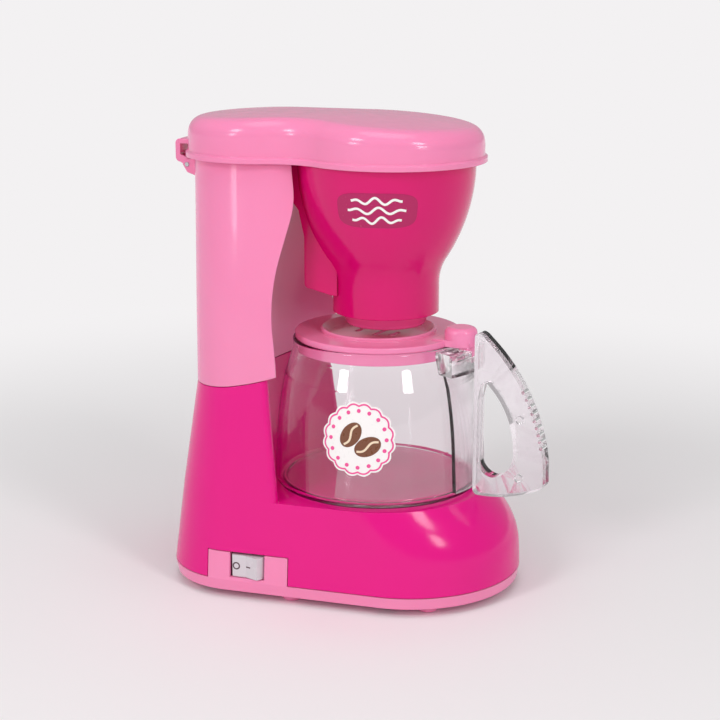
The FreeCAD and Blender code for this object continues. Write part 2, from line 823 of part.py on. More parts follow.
lip_inset = wall + seat_gap
lip_thick = S("housing_wall")
plate_hollow = new_body("plate_hollow")
plate_pad(plate_hollow, "plate_hollow_plan", plate_top, lip_inset + lip_thick, S("seam_level"))
plate_lip = new_body("plate_lip")
plate_pad(plate_lip, "plate_lip_plan", plate_top, lip_inset, S("seam_level") - plate_top + wall)
lip_gap = slab("lip_gap", -deep, -S("base_half_width") / 2, S("panel_front") - wall,
               S("panel_rear") + wall, plate_top, S("panel_top"))
lip_ring = boolean("Cut", "lip_ring", plate_lip, plate_hollow)
lip_notches = bosses("lip_notches", S("boss_radius") + seat_gap, plate_top,
                     S("seam_level") + 2 * wall)
lip_open = boolean("Cut", "lip_open", lip_ring, joined("lip_cuts", [lip_gap, lip_notches]))
plate_shell = boolean("Cut", "plate_shell", plate_outer, plate_hollow)
panel_wall = boolean("Common", "panel_wall", shell_walls, panel_block)
window = slab("window", -deep, -S("base_half_width") / 2, S("switch_y") - S("switch_width") / 2,
              S("switch_y") + S("switch_width") / 2, S("switch_level") - S("switch_height") / 2,
              S("panel_top") + wall)
panel_open = boolean("Cut", "panel_open", panel_wall, window)
box_wall = S("box_wall")
battery_box = slab("battery_box_walls", -well_half - box_wall, well_half + box_wall,
                   well_front - box_wall, well_rear + box_wall, plate_top, well_top + box_wall)
door_frame = slab("door_frame", -door_half - wall, door_half + wall, door_front - wall,
                  door_rear + wall, S("foot_height"), door_level + box_wall)
well = slab("battery_well", -well_half, well_half, well_front, well_rear, 0.0, well_top)
door_recess = slab("door_recess", -door_half - seat_gap, door_half + seat_gap,
                   door_front - seat_gap, door_rear + seat_gap, 0.0, door_level)
door_screw_post = cylinder("door_screw_post", S("screw_head_radius"), S("plate_screw_length"), 0.0,
                           door_screw_y + jug_y, door_level)
door_screw_hole = cylinder("door_screw_hole", S("screw_radius") + S("pin_play"),
                           S("plate_screw_length"), 0.0, door_screw_y + jug_y, S("foot_height"))
head_recesses = bosses("head_recesses", S("screw_head_radius") + fit_gap, S("foot_height") - wall,
                       S("foot_height") + S("screw_head"))
plate_solid = joined("plate_solid", [plate_shell, lip_open, panel_open, battery_box, door_frame,
                                     door_screw_post])
plate_cuts = joined("plate_cuts", [well, door_recess, door_screw_hole, boss_holes, head_recesses])
base_plate = finish(boolean("Cut", "base_plate", plate_solid, plate_cuts))

# Feet

FEET = [(35.7, 23.5), (31.6, -29.0), (28.0, 62.0)]
feet = []
for x, y in FEET:
    for side in (1, -1):
        foot = doc.addObject("PartDesign::Body", "foot_%d" % (len(feet) + 1))
        radius, edge = S("foot_radius"), S("foot_edge")
        revolve(foot, foot.Name, [
            (0.0, 0.0), (radius - edge, 0.0, edge), (radius, edge), (radius, S("foot_height")),
            (0.0, S("foot_height"))])
        place(foot, side * x, y + jug_y)
        feet.append(foot)
foot_pads = finish(group("foot_pads", feet))

# Battery door, cells and contacts

door_panel = slab("door_panel", -door_half, door_half, door_front, door_rear, S("foot_height"),
                  S("foot_height") + S("door_thick"))
battery_door = finish(boolean("Cut", "battery_door", door_panel, door_screw_hole))


def screw(label, length, x, y, z, axis=None, angle=0.0):
    """A pan-head screw that points along its own Z axis from the head, with a cross recess."""
    body = doc.addObject("PartDesign::Body", label)
    head, radius, high = S("screw_head_radius"), S("screw_radius"), S("screw_head")
    edge = high / 3
    revolve(body, label, [
        (0.0, 0.0), (head - edge, 0.0, edge), (head, edge), (head, high), (radius, high),
        (radius, length - radius), (0.0, length)])
    cross = new_sketch(body, label + "_cross", "XY_Plane")
    arm, slot = head * 0.6, head * 0.12
    outline(cross, [
        (-arm, -slot), (-slot, -slot), (-slot, -arm), (slot, -arm), (slot, -slot), (arm, -slot),
        (arm, slot), (slot, slot), (slot, arm), (-slot, arm), (-slot, slot), (-arm, slot)])
    pocket(body, cross, high / 2, reverse=True)
    place(body, x, y, z, axis, angle)
    return body


battery_door_screw = finish(screw("battery_door_screw", S("plate_screw_length") - wall, 0.0,
                                  door_screw_y + jug_y, S("foot_height") - S("screw_head")))
plate_screws = finish(group("plate_screws", [
    screw("plate_screw_%d" % (n + 1), S("plate_screw_length"), x, y + jug_y, S("foot_height"))
    for n, (x, y) in enumerate(screw_places)]))

for name, side in (("battery_left", -1), ("battery_right", 1)):
    cell = doc.addObject("PartDesign::Body", name)
    cell.Label = name
    radius, long = S("cell_radius"), S("cell_length")
    revolve(cell, name, [
        (0.0, 0.0), (radius - 0.5, 0.0, 0.5), (radius, 0.5), (radius, long - S("cell_nub") - 0.5, 0.5),
        (radius - 0.5, long - S("cell_nub")), (S("cell_nub_radius"), long - S("cell_nub")),
        (S("cell_nub_radius"), long), (0.0, long)])
    start = S("cell_front") if side < 0 else S("cell_front") + long
    place(cell, side * cell_x, start + jug_y, cell_level, V(1, 0, 0), 90.0 * side)
    finish(cell)

contact_half = well_half - S("cell_play")
contact_low, contact_high = cell_level - S("cell_radius") / 2, cell_level + S("cell_radius") / 2
contact_rear = slab("contact_rear", -contact_half, contact_half, well_rear - S("contact_thick"),
                    well_rear, contact_low, contact_high)
contact_fronts = [
    slab("contact_front_%s" % name, low, high, well_front, well_front + S("contact_thick"),
         contact_low, contact_high)
    for name, low, high in (("left", -contact_half, -S("cell_play")),
                            ("right", S("cell_play"), contact_half))]
springs = []
for name, x, face, turn in (("front", -cell_x, well_front + S("contact_thick"), -90.0),
                            ("rear", cell_x, well_rear - S("contact_thick"), 90.0)):
    spring = solid("Cone", "contact_spring_" + name, Radius1=S("cell_radius") / 2,
                   Radius2=S("cell_nub_radius") / 2,
                   Height=S("contact_room") - S("contact_thick") - seat_gap)
    place(spring, x, face + jug_y, cell_level, V(1, 0, 0), turn)
    springs.append(spring)
contact_plates = finish(group("contact_plates", [
    joined("rear_contact", [contact_rear, springs[1]]),
    joined("front_contact", [contact_fronts[0], springs[0]]),
    contact_fronts[1]]))

# Switch

pivot_x = S("base_half_width") - between(0.0, S("base_half_width") - S("platform_half_width"),
                                         (S("switch_level") - S("seam_level"))
                                         / (S("platform_level") - S("seam_level"))) - S("rocker_sink")
swing = S("switch_width") / 2 - seat_gap / 1.5
rocker_half = S("switch_height") / 2 - seat_gap
housing_back = pivot_x - S("rocker_depth_in") - 4 * seat_gap - S("housing_wall")

switch_rocker = doc.addObject("PartDesign::Body", "switch_rocker")
switch_rocker.Label = "switch_rocker"
crest, inner = S("rocker_crest_out"), S("rocker_depth_in")
crest_y = root(swing * swing - crest * crest)
inner_y = root(swing * swing - inner * inner)
rocker_plan = new_sketch(switch_rocker, "rocker_plan", "XY_Plane")
outline(rocker_plan, [
    (-crest, crest_y), (-S("rocker_notch"), 0.0), (-crest, -crest_y, swing), (inner, -inner_y),
    (inner, inner_y, swing)])
pad(switch_rocker, rocker_plan, 2 * rocker_half, symmetric=True)
rocker_pin = new_sketch(switch_rocker, "rocker_pin", "XY_Plane")
ring(rocker_pin, 0.0, 0.0, S("rocker_pin_radius"))
pad(switch_rocker, rocker_pin, S("switch_height") + S("housing_wall"), symmetric=True)
place(switch_rocker, -pivot_x, S("switch_y") + jug_y, S("switch_level"), V(0, 0, -1), 1.0)
switch_rocker.setExpression("Placement.Rotation.Angle", "sizes.rocker_tilt")
finish(switch_rocker)

frame = S("housing_wall")
housing_y = S("switch_width") / 2 + frame
housing_z = S("switch_height") / 2 + frame
housing_box = slab("housing_box", -S("housing_front_x"), -housing_back, S("switch_y") - housing_y,
                   S("switch_y") + housing_y, S("switch_level") - housing_z,
                   S("switch_level") + housing_z)
housing_hollow = slab("housing_hollow", -S("housing_front_x") - wall, -housing_back - frame,
                      S("switch_y") - housing_y + frame, S("switch_y") + housing_y - frame,
                      S("switch_level") - housing_z + frame, S("switch_level") + housing_z - frame)
housing_bore = cylinder("housing_bore", S("rocker_pin_radius") + S("pin_play"), 4 * housing_z,
                        -pivot_x, S("switch_y") + jug_y, S("switch_level") - 2 * housing_z)
switch_housing = finish(boolean("Cut", "switch_housing", housing_box,
                                joined("housing_cuts", [housing_hollow, housing_bore])))

# Water tank

STATIONS = ["tank_foot", "tank_belly", "tank_waist", "tank_neck", "tank_top"]


def tank_block(label, inset, rise):
    """The tank's outside drawn in by inset, run on past its top by rise."""
    body = new_body(label)
    sections = []
    for name in STATIONS:
        half, front_half = S(name + "_half") - inset, S(name + "_front_half") - inset
        plan = tank_plan(half, front_half, S("tank_front"), S(name + "_rear") - inset,
                         S(name + "_corner") - inset)
        sections.append((S(name + "_level"), plan))
    loft(body, label, sections)
    if rise.value > 0:
        top = new_sketch(body, label + "_rise", "XY_Plane", S("tank_top_level") - rise)
        outline(top, sections[-1][1])
        pad(body, top, 2 * rise)
    bay = revolve(body, label + "_bay",
                  dome_profile(inset, S("tank_foot_level") - wall, S("lid_crown_top"), 0.0), cut=True)
    return body, bay


tank_outer, tank_bay = tank_block("tank_outer", as_length(0.0), as_length(0.0))
tank_inner, _ = tank_block("tank_inner", wall, wall)
above_seam = new_body("above_seam")
sketch = new_sketch(above_seam, "above_seam_profile", "YZ_Plane")
outline(sketch, seam_profile(1))
pad(above_seam, sketch, S("base_half_width") * 3, symmetric=True)
tank_seamed = boolean("Common", "tank_seamed", tank_outer, above_seam)
floor_slab = slab("floor_slab", -deep, deep, -deep, deep * 2, S("tank_floor") - wall,
                  S("tank_floor"))
tank_floor = boolean("Common", "tank_floor", tank_inner, floor_slab)
tank_walls = boolean("Cut", "tank_walls", tank_seamed, tank_inner)

# Lid hinge lugs on the tank's rear wall
lug_inner = S("hinge_arm_half") + seat_gap
lug_outer = lug_inner + S("hinge_lug_thick")
lugs = []
for name, side in (("left", -1.0), ("right", 1.0)):
    lug = new_body("lug_" + name)
    middle = side * (lug_inner + lug_outer) / 2
    profile = new_sketch(lug, "lug_%s_profile" % name, "YZ_Plane", middle)
    lug_rear = S("hinge_y") + S("hinge_eye_radius")
    outline(profile, [
        (S("tank_top_rear") - 1.5 * wall, S("hinge_lug_bottom") - wall),
        (S("hinge_y"), S("hinge_lug_bottom")),
        (lug_rear, S("hinge_level"), S("hinge_eye_radius")),
        (S("hinge_y"), S("hinge_level") + S("hinge_eye_radius")),
        (S("tank_top_rear") - 1.5 * wall, S("hinge_lug_top"))])
    pad(lug, profile, S("hinge_lug_thick"), symmetric=True)
    lugs.append(lug)
lug_pair = joined("lug_pair", lugs)
lug_ends = boolean("Cut", "lug_ends", lug_pair, tank_inner)
pin_half = lug_outer + seat_gap
hinge_bore = cylinder("hinge_bore", S("hinge_pin_radius") + S("pin_play"), 4 * pin_half,
                      -2 * pin_half, S("hinge_y") + jug_y, S("hinge_level"), V(0, 1, 0), 90.0)

delivery_x = S("pump_x") - S("outlet_shift")
tube_hole = S("tube_radius") + fit_gap
tube_holes = [
    cylinder("tank_hole_" + name, tube_hole, 3 * wall, x, S("pump_y") + jug_y,
             S("tank_floor") - 2 * wall)
    for name, x in (("suction", S("pump_x")), ("delivery", delivery_x))]


def hopper_screw_line(label, radius, start, length):
    """One cylinder at each hopper screw, pointing to the front."""
    return [
        cylinder("%s_%s" % (label, name), radius, length, side * S("hopper_screw_x"),
                 start + jug_y, S("hopper_screw_level"), V(1, 0, 0), 90.0)
        for name, side in (("left", -1.0), ("right", 1.0))]


head_edge_x = S("hopper_screw_x") - S("screw_head_radius") - fit_gap
screw_seat = root((S("dome_top_radius") + wall) * (S("dome_top_radius") + wall)
                  - head_edge_x * head_edge_x)
screw_start = screw_seat + S("screw_head")
screw_holes = hopper_screw_line("hopper_screw_hole", S("screw_radius") + S("pin_play"),
                                screw_start, S("hopper_screw_length") + seat_gap)
screw_pads = hopper_screw_line("screw_pad", S("screw_head_radius") + fit_gap, screw_seat, wall * 0.8)
tank_solid = joined("tank_solid", [tank_walls, tank_floor, lug_ends] + screw_pads, refine=False)
tank_cuts = joined("tank_cuts", [hinge_bore] + tube_holes + screw_holes, refine=False)
water_tank = finish(boolean("Cut", "water_tank", tank_solid, tank_cuts, refine=False))
hinge_pin = finish(cylinder("hinge_pin", S("hinge_pin_radius"), 2 * pin_half, -pin_half,
                            S("hinge_y") + jug_y, S("hinge_level"), V(0, 1, 0), 90.0))

# Hopper with its rear block, and the nozzle under it

brew_hopper_blank = new_body("brew_hopper_blank")
top = S("tank_top_level")
revolve(brew_hopper_blank, "hopper_outside",
        hopper_outside(as_length(0.0), S("hopper_bottom"), top + wall, 0.0), axis=S("hopper_y"))
block = new_sketch(brew_hopper_blank, "hopper_block", "YZ_Plane")
outline(block, [
    (S("block_start_y") - wall, S("block_start_level")), (S("block_start_y"), S("block_start_level")),
    (S("block_rear") - wall, S("block_bottom"), wall),
    (S("block_rear"), S("block_bottom") + wall), (S("block_rear"), S("block_turn_level")),
    (S("block_mid_y"), S("block_mid_level")), (S("dome_top_radius") - wall / 2, S("dome_top_level")),
    (S("dome_top_radius") - wall / 2, top), (S("block_start_y") - wall, top)])
pad(brew_hopper_blank, block, 2 * S("block_half_width"), symmetric=True)
revolve(brew_hopper_blank, "hopper_inside",
        hopper_outside(S("hopper_wall"), S("hopper_bottom") + wall, top + wall, 0.0),
        axis=S("hopper_y"), cut=True)
revolve(brew_hopper_blank, "hopper_clearance",
        dome_profile(-fit_gap, S("dome_start") - wall, S("lid_crown_top"), S("bay_radius") * 2),
        angle=120.0, cut=True)
rim = new_sketch(brew_hopper_blank, "hopper_rim", "XY_Plane", top)
ring(rim, 0.0, 0.0, S("bay_radius"))
pocket(brew_hopper_blank, rim, 2 * wall, reverse=True)
drain = cylinder("hopper_drain", S("hopper_drain_radius"), 2 * wall, 0.0, S("hopper_y") + jug_y,
                 S("hopper_bottom") - wall / 2)
brew_hopper = finish(boolean("Cut", "brew_hopper", brew_hopper_blank,
                             joined("hopper_cuts", [drain] + screw_holes)))
hopper_screws = finish(group("hopper_screws", [
    screw("hopper_screw_" + name, S("hopper_screw_length"), side * S("hopper_screw_x"),
          screw_start + jug_y, S("hopper_screw_level"), V(1, 0, 0), 90.0)
    for name, side in (("left", -1.0), ("right", 1.0))]))

drip_nozzle = new_body("drip_nozzle")
y, edge = S("hopper_y"), S("nozzle_edge")
spigot = S("hopper_drain_radius") - fit_gap
revolve(drip_nozzle, "nozzle", [
    (y + S("outlet_bore"), S("outlet_level")), (y + S("outlet_radius"), S("outlet_level")),
    (y + S("outlet_radius"), S("nozzle_bottom")),
    (y + S("nozzle_radius") - edge, S("nozzle_bottom"), edge),
    (y + S("nozzle_radius"), S("nozzle_bottom") + edge),
    (y + S("nozzle_top_radius"), S("hopper_bottom")), (y + spigot, S("hopper_bottom")),
    (y + spigot, S("hopper_bottom") + wall), (y + S("outlet_bore"), S("hopper_bottom") + wall)],
    axis=y)
finish(drip_nozzle)

# Top lid with its hooked hinge arm


def lid_block(label, inset, drop, edge_radius):
    """The lid's outline raised to a shallow dome with a rounded edge."""
    blank = new_body(label + "_blank")
    plan = new_sketch(blank, label + "_plan", "XY_Plane", S("lid_rim") - drop / 2)
    outline(plan, lid_plan(-inset))
    pad(blank, plan, S("lid_height"))
    dome = solid("Sphere", label + "_dome", Radius=S("lid_crown_radius") - drop)
    place(dome, 0.0, S("lid_crown_y") + jug_y, S("lid_crown_top") - S("lid_crown_radius"))
    domed = boolean("Common", label + "_domed", blank, dome)
    doc.recompute()
    body = doc.addObject("PartDesign::Body", label)
    body.BaseFeature = domed
    level = S("lid_rim").value + S("lid_height").value / 3
    fillet(body, body.Group[0], edge_radius, lambda e: e.BoundBox.ZMin > level)
    return body


lid_outer = lid_block("lid_outer", as_length(0.0), as_length(0.0), S("lid_edge_radius"))
lid_inner = lid_block("lid_inner", S("lid_wall"), S("lid_wall"), S("lid_edge_radius") - S("lid_wall"))
lip_body = new_body("lid_lip")
sketch = new_sketch(lip_body, "lid_lip_plan", "XY_Plane", S("lid_rim"))
outline(sketch, lid_plan(S("lid_lip_out")))
lip = pad(lip_body, sketch, S("lid_lip_height"))
fillet(lip_body, lip, S("lid_lip_out") - fit_gap,
       lambda e: e.BoundBox.ZMin > S("lid_rim").value + S("lid_lip_height").value / 2)
opening = new_body("lid_opening")
sketch = new_sketch(opening, "lid_opening_plan", "XY_Plane", S("lid_rim") - wall)
outline(sketch, lid_plan(-S("lid_ledge")))
pad(opening, sketch, S("lid_lip_height") + 2 * wall)
above_ledge = slab("above_ledge", -deep, deep, -deep, deep * 2,
                   S("lid_rim") + S("lid_lip_height"), S("lid_crown_top"))
lid_room = joined("lid_room", [boolean("Common", "lid_room_top", lid_inner, above_ledge), opening])

arm = new_body("lid_hinge_arm")
sketch = new_sketch(arm, "hinge_arm", "YZ_Plane")
reach, thick, rear = S("hook_reach"), S("hook_thick"), S("lid_rear_y") + S("lid_rear_radius")
eye_y, eye_z, eye = S("hinge_y"), S("hinge_level"), S("hinge_eye_radius")
outline(sketch, [
    (rear - wall / 2, S("hook_top") - thick), (reach - thick, S("hook_top") - thick),
    (reach - thick, S("hook_low") + thick / 2), (eye_y, eye_z + eye, eye),
    (eye_y - eye, eye_z, eye), (eye_y, eye_z - eye), (reach - thick, S("hook_low") - thick, thick),
    (reach, S("hook_low")), (reach, S("hook_top") - thick, thick),
    (reach - thick, S("hook_top")), (rear - wall / 2, S("hook_top"))])
pad(arm, sketch, 2 * S("hinge_arm_half"), symmetric=True)
top_lid = finish(boolean("Cut", "top_lid",
                         joined("lid_solid", [boolean("Cut", "lid_walls", joined(
                             "lid_blank", [lid_outer, lip_body]), lid_room), arm]), hinge_bore))

# Jug

jug_base = S("platform_level") + seat_gap


def jug_side(out, low):
    """The jug's side from low to the rim, grown by out."""
    neck = S("jug_neck_radius") + out
    return [
        (S("jug_radius") + out, low),
        (S("jug_shoulder_start_radius") + out, S("jug_shoulder_start"), S("jug_shoulder_arc") + out),
        (S("jug_shoulder_radius") + out, S("jug_shoulder_level")),
        (neck + S("jug_neck_out"), S("jug_neck_level") - S("jug_neck_rise"), out - S("jug_neck_arc")),
        (neck, S("jug_neck_level")),
    ]


def backwards(nodes):
    """The same run of nodes walked the other way."""
    turned = []
    for i in range(len(nodes) - 1, -1, -1):
        node = nodes[i][:2]
        if i > 0 and len(nodes[i - 1]) == 3:
            node += (-nodes[i - 1][2],)
        turned.append(node)
    return turned


jug_body = new_body("jug_body", turned=True)
foot_edge, rim_level = S("jug_foot_edge"), S("jug_rim")
inside = -S("jug_wall")
lip_round = S("jug_wall") / 2
revolve(jug_body, "jug", [
    (0.0, jug_base), (S("jug_radius") - foot_edge, jug_base, foot_edge)]
    + jug_side(as_length(0.0), jug_base + foot_edge)
    + [(S("jug_neck_radius"), rim_level - lip_round, lip_round),
       (S("jug_neck_radius") - lip_round, rim_level, lip_round),
       (S("jug_neck_radius") + inside, rim_level - lip_round)]
    + backwards(jug_side(inside, jug_base + foot_edge))[:-1]
    + [(S("jug_radius") + inside, jug_base + foot_edge, S("jug_wall") - foot_edge),
       (S("jug_radius") - foot_edge, jug_base + S("jug_wall")), (0.0, jug_base + S("jug_wall"))])
finish(jug_body)

# Jug lid, drawn closed, with the thumb bump towards the handle

flange = S("jug_rim") + seat_gap
flange_top = flange + S("flange_thick")
plug_outer = S("jug_neck_radius") - S("jug_wall") - S("plug_gap")
lid_core = new_body("jug_lid_blank", turned=True)
bead_in, bead_out = S("bead_radius") - S("bead_width"), S("bead_radius")
dish_bottom = S("dish_level") - S("jug_wall")
revolve(lid_core, "jug_lid_disc", [
    (0.0, dish_bottom), (bead_in, dish_bottom), (bead_in, flange - wall / 2),
    (plug_outer - S("jug_wall"), flange - wall / 2), (plug_outer - S("jug_wall"), flange - S("plug_depth")),
    (plug_outer, flange - S("plug_depth")), (plug_outer, flange),
    (S("flange_radius"), flange), (S("flange_radius"), flange_top - wall / 4, wall / 4),
    (S("flange_radius") - wall / 4, flange_top), (bead_out, flange_top),
    (bead_out, S("bead_top") - wall / 4, wall / 4), (bead_out - wall / 4, S("bead_top")),
    (bead_out - wall / 2, S("bead_top")), (bead_in - wall / 2, S("dish_level")),
    (0.0, S("dish_level"))])
tab = new_sketch(lid_core, "thumb_tab", "XY_Plane", flange)
reach = S("thumb_reach")
thumb = S("thumb_radius")
outline(tab, [(-thumb, -reach, thumb), (0.0, -reach - thumb, thumb), (thumb, -reach),
              (thumb, -S("tab_start")), (-thumb, -S("tab_start"))])
pad(lid_core, tab, S("tab_top") - flange)
bump = new_sketch(lid_core, "thumb_bump", "XY_Plane", S("tab_top") - wall / 2)
ring(bump, 0.0, -reach, thumb)
bump_pad = pad(lid_core, bump, S("thumb_top") - S("tab_top") + wall / 2)
fillet(lid_core, bump_pad, S("thumb_edge"),
       lambda e: e.BoundBox.ZMin > S("thumb_top").value - 0.1)
knuckle = new_sketch(lid_core, "lid_knuckle", "YZ_Plane")
pivot_q, pivot_z, eye = S("lid_pivot_reach"), S("lid_pivot_level"), S("knuckle_radius")
outline(knuckle, [(-pivot_q - eye, pivot_z, eye), (-pivot_q, pivot_z - eye, eye),
                  (-pivot_q + eye, pivot_z), (-pivot_q + eye, S("tab_top") - wall / 2),
                  (-pivot_q - eye, S("tab_top") - wall / 2)])
pad(lid_core, knuckle, 2 * S("knuckle_half"), symmetric=True)
slots = new_body("pour_slots", turned=True)
for number, y in enumerate((7.8, -1.2, -7.2)):
    slot = new_sketch(slots, "pour_slot_%d" % (number + 1), "XY_Plane", dish_bottom - wall)
    outline(slot, box_nodes(-6.0 + abs(y) / 3, y - 0.9, 6.0 - abs(y) / 3, y + 0.9))
    pad(slots, slot, 3 * wall)
pivot_bore = solid("Cylinder", "lid_pivot_bore", Radius=S("lid_pivot_radius") + S("pin_play"),
                   Height=3 * S("lid_pivot_half_length"))


def on_jug(obj, x, y, z, tilt=None):
    """Places an object by a point in the jug's own turned frame."""
    turn = FreeCAD.Rotation(V(0, 0, -1), S("jug_turn").value)
    x, y, z = as_length(x), as_length(y), as_length(z)
    rotation = turn.multiply(tilt) if tilt else turn
    spot = turn.multVec(V(x.value, y.value, z.value)) + V(0, jug_y.value, 0)
    obj.Placement = FreeCAD.Placement(spot, rotation)
    cosine, sine = "cos(sizes.jug_turn * 1 deg)", "sin(sizes.jug_turn * 1 deg)"
    obj.setExpression("Placement.Base.x", "%s * %s + %s * %s" % (x.formula, cosine, y.formula, sine))
    obj.setExpression("Placement.Base.y", "%s * %s - %s * %s + sizes.jug_axis_y"
                      % (y.formula, cosine, x.formula, sine))
    obj.setExpression("Placement.Base.z", z.formula)
    return obj


across = FreeCAD.Rotation(V(0, 1, 0), 90)
on_jug(pivot_bore, -1.5 * S("lid_pivot_half_length"), -pivot_q, pivot_z, across)
jug_lid = finish(boolean("Cut", "jug_lid", lid_core, joined("jug_lid_cuts", [slots, pivot_bore])))
jug_lid_pin = finish(on_jug(
    solid("Cylinder", "jug_lid_pin", Radius=S("lid_pivot_radius"),
          Height=2 * S("lid_pivot_half_length")),
    -S("lid_pivot_half_length"), -pivot_q, pivot_z, across))



def mirrored(nodes):
    """The outline on the other side of the upright axis, walked the same way."""
    turned = []
    for node in nodes:
        node = (-as_length(node[0]),) + tuple(node[1:])
        turned.append(node[:2] + ((-as_length(node[2]),) if len(node) == 3 else ()))
    return turned


# Saddle and collar that carry the handle

hold = fit_gap
saddle_blank = new_body("saddle_blank", turned=True)
saddle_out = S("saddle_thick") + hold
side = jug_side(hold, S("saddle_bottom"))
outer_side = jug_side(saddle_out, S("saddle_bottom"))
revolve(saddle_blank, "saddle_strip", mirrored(
    outer_side[:3] + [(S("jug_neck_radius") + saddle_out, S("collar_bottom") + saddle_out),
                      (S("jug_neck_radius") + saddle_out, S("collar_top")),
                      (S("jug_neck_radius") + hold, S("collar_top"))] + backwards(side)),
    angle=S("saddle_angle"))
collar_blank = new_body("collar_blank", turned=True)
revolve(collar_blank, "collar", mirrored([
    (S("jug_neck_radius") + saddle_out, S("collar_bottom")),
    (S("collar_radius"), S("collar_bottom")), (S("collar_radius"), S("collar_top")),
    (S("jug_neck_radius") + hold, S("collar_top")), (S("jug_neck_radius") + hold, S("jug_neck_level"))]),
    angle=S("collar_angle"))
knuckle_room = new_body("knuckle_room", turned=True)
room = new_sketch(knuckle_room, "knuckle_room", "YZ_Plane")
low = pivot_z - S("knuckle_radius") - seat_gap
near = -pivot_q + S("knuckle_radius") + seat_gap
outline(room, box_nodes(-S("collar_radius") - wall, low, near, S("collar_top") + wall))
pad(knuckle_room, room, 2 * (S("knuckle_half") + seat_gap), symmetric=True)
handle_saddle = finish(boolean("Cut", "handle_saddle", joined(
    "saddle_solid", [saddle_blank, collar_blank]), joined(
    "saddle_cuts", [knuckle_room, pivot_bore])))

# Handle in two halves

inner, far = S("handle_inner"), S("handle_reach")
low, top = S("handle_bottom"), S("handle_top")


def grip_outline():
    """The grip's outer edge, from the lower inner corner round to the top."""
    return mirrored([
        (inner, low + 2.0, 2.3), (inner + 2.5, low, 54.0), (far - 1.7, low + 5.9, 2.9),
        (far, low + 8.2), (far - 0.1, low + 15.6, 70.0), (inner + 4.4, top - 1.8, 5.2),
        (inner + 1.6, top, 1.6), (inner, top - 1.6)])


def finger_outline():
    """The finger gap, round at the bottom and drawn to a narrow tip at the top."""
    return mirrored([
        (inner + 1.5, low + 37.4), (inner + 1.5, low + 15.4, 7.0), (inner + 8.0, low + 7.8, 10.5),
        (far - 12.4, low + 19.9, 32.0), (inner + 6.3, low + 43.2, 2.0), (inner + 2.9, low + 43.6)])


for name, side_sign in (("near", -1.0), ("far", 1.0)):
    half = new_body("handle_half_" + name, turned=True)
    grip = new_sketch(half, "grip_%s" % name, "YZ_Plane")
    outline(grip, grip_outline())
    grip_pad = pad(half, grip, S("handle_half_thick"))
    grip_pad.Reversed = side_sign < 0
    gap = new_sketch(half, "finger_gap_%s" % name, "YZ_Plane")
    outline(gap, finger_outline())
    gap_cut = pocket(half, gap, 3 * S("handle_half_thick"), symmetric=True)
    pegs = new_sketch(half, "pegs_" + name, "YZ_Plane")
    play = S("pin_play") if side_sign > 0 else 0.0
    for level in (S("peg_level"), S("peg_low_level")):
        ring(pegs, -S("peg_reach"), level, S("peg_radius") + play)
    if side_sign > 0:
        pocket(half, pegs, S("peg_length") + S("pin_play"), reverse=True)
    else:
        pad(half, pegs, S("peg_length"))
    finish(half)


# Pump: motor, housing with its chamber, impeller and the two tubes

pump_x, pump_y = S("pump_x"), S("pump_y")


def pump_part(label, profile, cut=None):
    """A turned piece on the pump's upright axis."""
    body = doc.addObject("PartDesign::Body", label)
    revolve(body, label, profile)
    place(body, pump_x, pump_y + jug_y)
    return body


bearing = S("shaft_radius") + S("pin_play")
motor_edge = S("pump_wall")
pump_motor = finish(pump_part("pump_motor", [
    (0.0, plate_top), (S("motor_radius"), plate_top), (S("motor_radius"), S("motor_top") - motor_edge),
    (S("motor_radius") - motor_edge, S("motor_top")), (bearing, S("motor_top")),
    (bearing, S("shaft_bottom") - fit_gap), (0.0, S("shaft_bottom") - fit_gap)]))
pump_bore = S("motor_radius") + fit_gap
pump_out = pump_bore + S("pump_wall")
spigot_r = S("tube_bore") - S("pin_play")
spigot_bore = spigot_r - S("pump_wall") / 2
pump_shell = pump_part("pump_shell", [
    (pump_bore, S("skirt_bottom")), (pump_out, S("skirt_bottom")),
    (pump_out, S("chamber_top") + S("pump_wall")), (spigot_r, S("chamber_top") + S("pump_wall")),
    (spigot_r, S("spigot_top")), (spigot_bore, S("spigot_top")), (spigot_bore, S("chamber_top")),
    (pump_bore, S("chamber_top")), (pump_bore, S("chamber_bottom")), (bearing, S("chamber_bottom")),
    (bearing, S("motor_top")), (pump_bore, S("motor_top"))])
outlet_x = pump_x - S("outlet_shift")
outlet = cylinder("pump_outlet", spigot_r, S("spigot_top") - S("chamber_top"), outlet_x,
                  pump_y + jug_y, S("chamber_top"))
outlet_bore = cylinder("pump_outlet_bore", spigot_bore, 2 * S("spigot_top") - 2 * S("chamber_top"),
                       outlet_x, pump_y + jug_y, 2 * S("chamber_top") - S("spigot_top"))
pump_housing = finish(boolean("Cut", "pump_housing", joined(
    "pump_with_outlet", [pump_shell, outlet]), outlet_bore))

impeller = doc.addObject("PartDesign::Body", "impeller")
impeller.Label = "impeller"
disc = S("chamber_bottom") + 2 * seat_gap
hub = 2 * S("shaft_radius")
revolve(impeller, "impeller_disc", [
    (0.0, S("shaft_bottom")), (S("shaft_radius"), S("shaft_bottom")), (S("shaft_radius"), disc),
    (S("impeller_radius"), disc), (S("impeller_radius"), disc + S("pump_wall") / 2),
    (hub, disc + S("pump_wall") / 2), (hub, disc + S("vane_height")), (0.0, disc + S("vane_height"))])
vane = new_sketch(impeller, "vane", "XY_Plane", disc)
vane_half = S("pump_wall") / 4
outline(vane, box_nodes(S("shaft_radius"), -vane_half, S("impeller_radius"), vane_half))
vane_pad = pad(impeller, vane, S("vane_height"))
vanes = impeller.newObject("PartDesign::PolarPattern", "vanes")
vanes.Originals = [vane_pad]
vanes.Axis = (origin_plane(impeller, "Z_Axis"), [""])
vanes.Angle = 360
vanes.Occurrences = 6
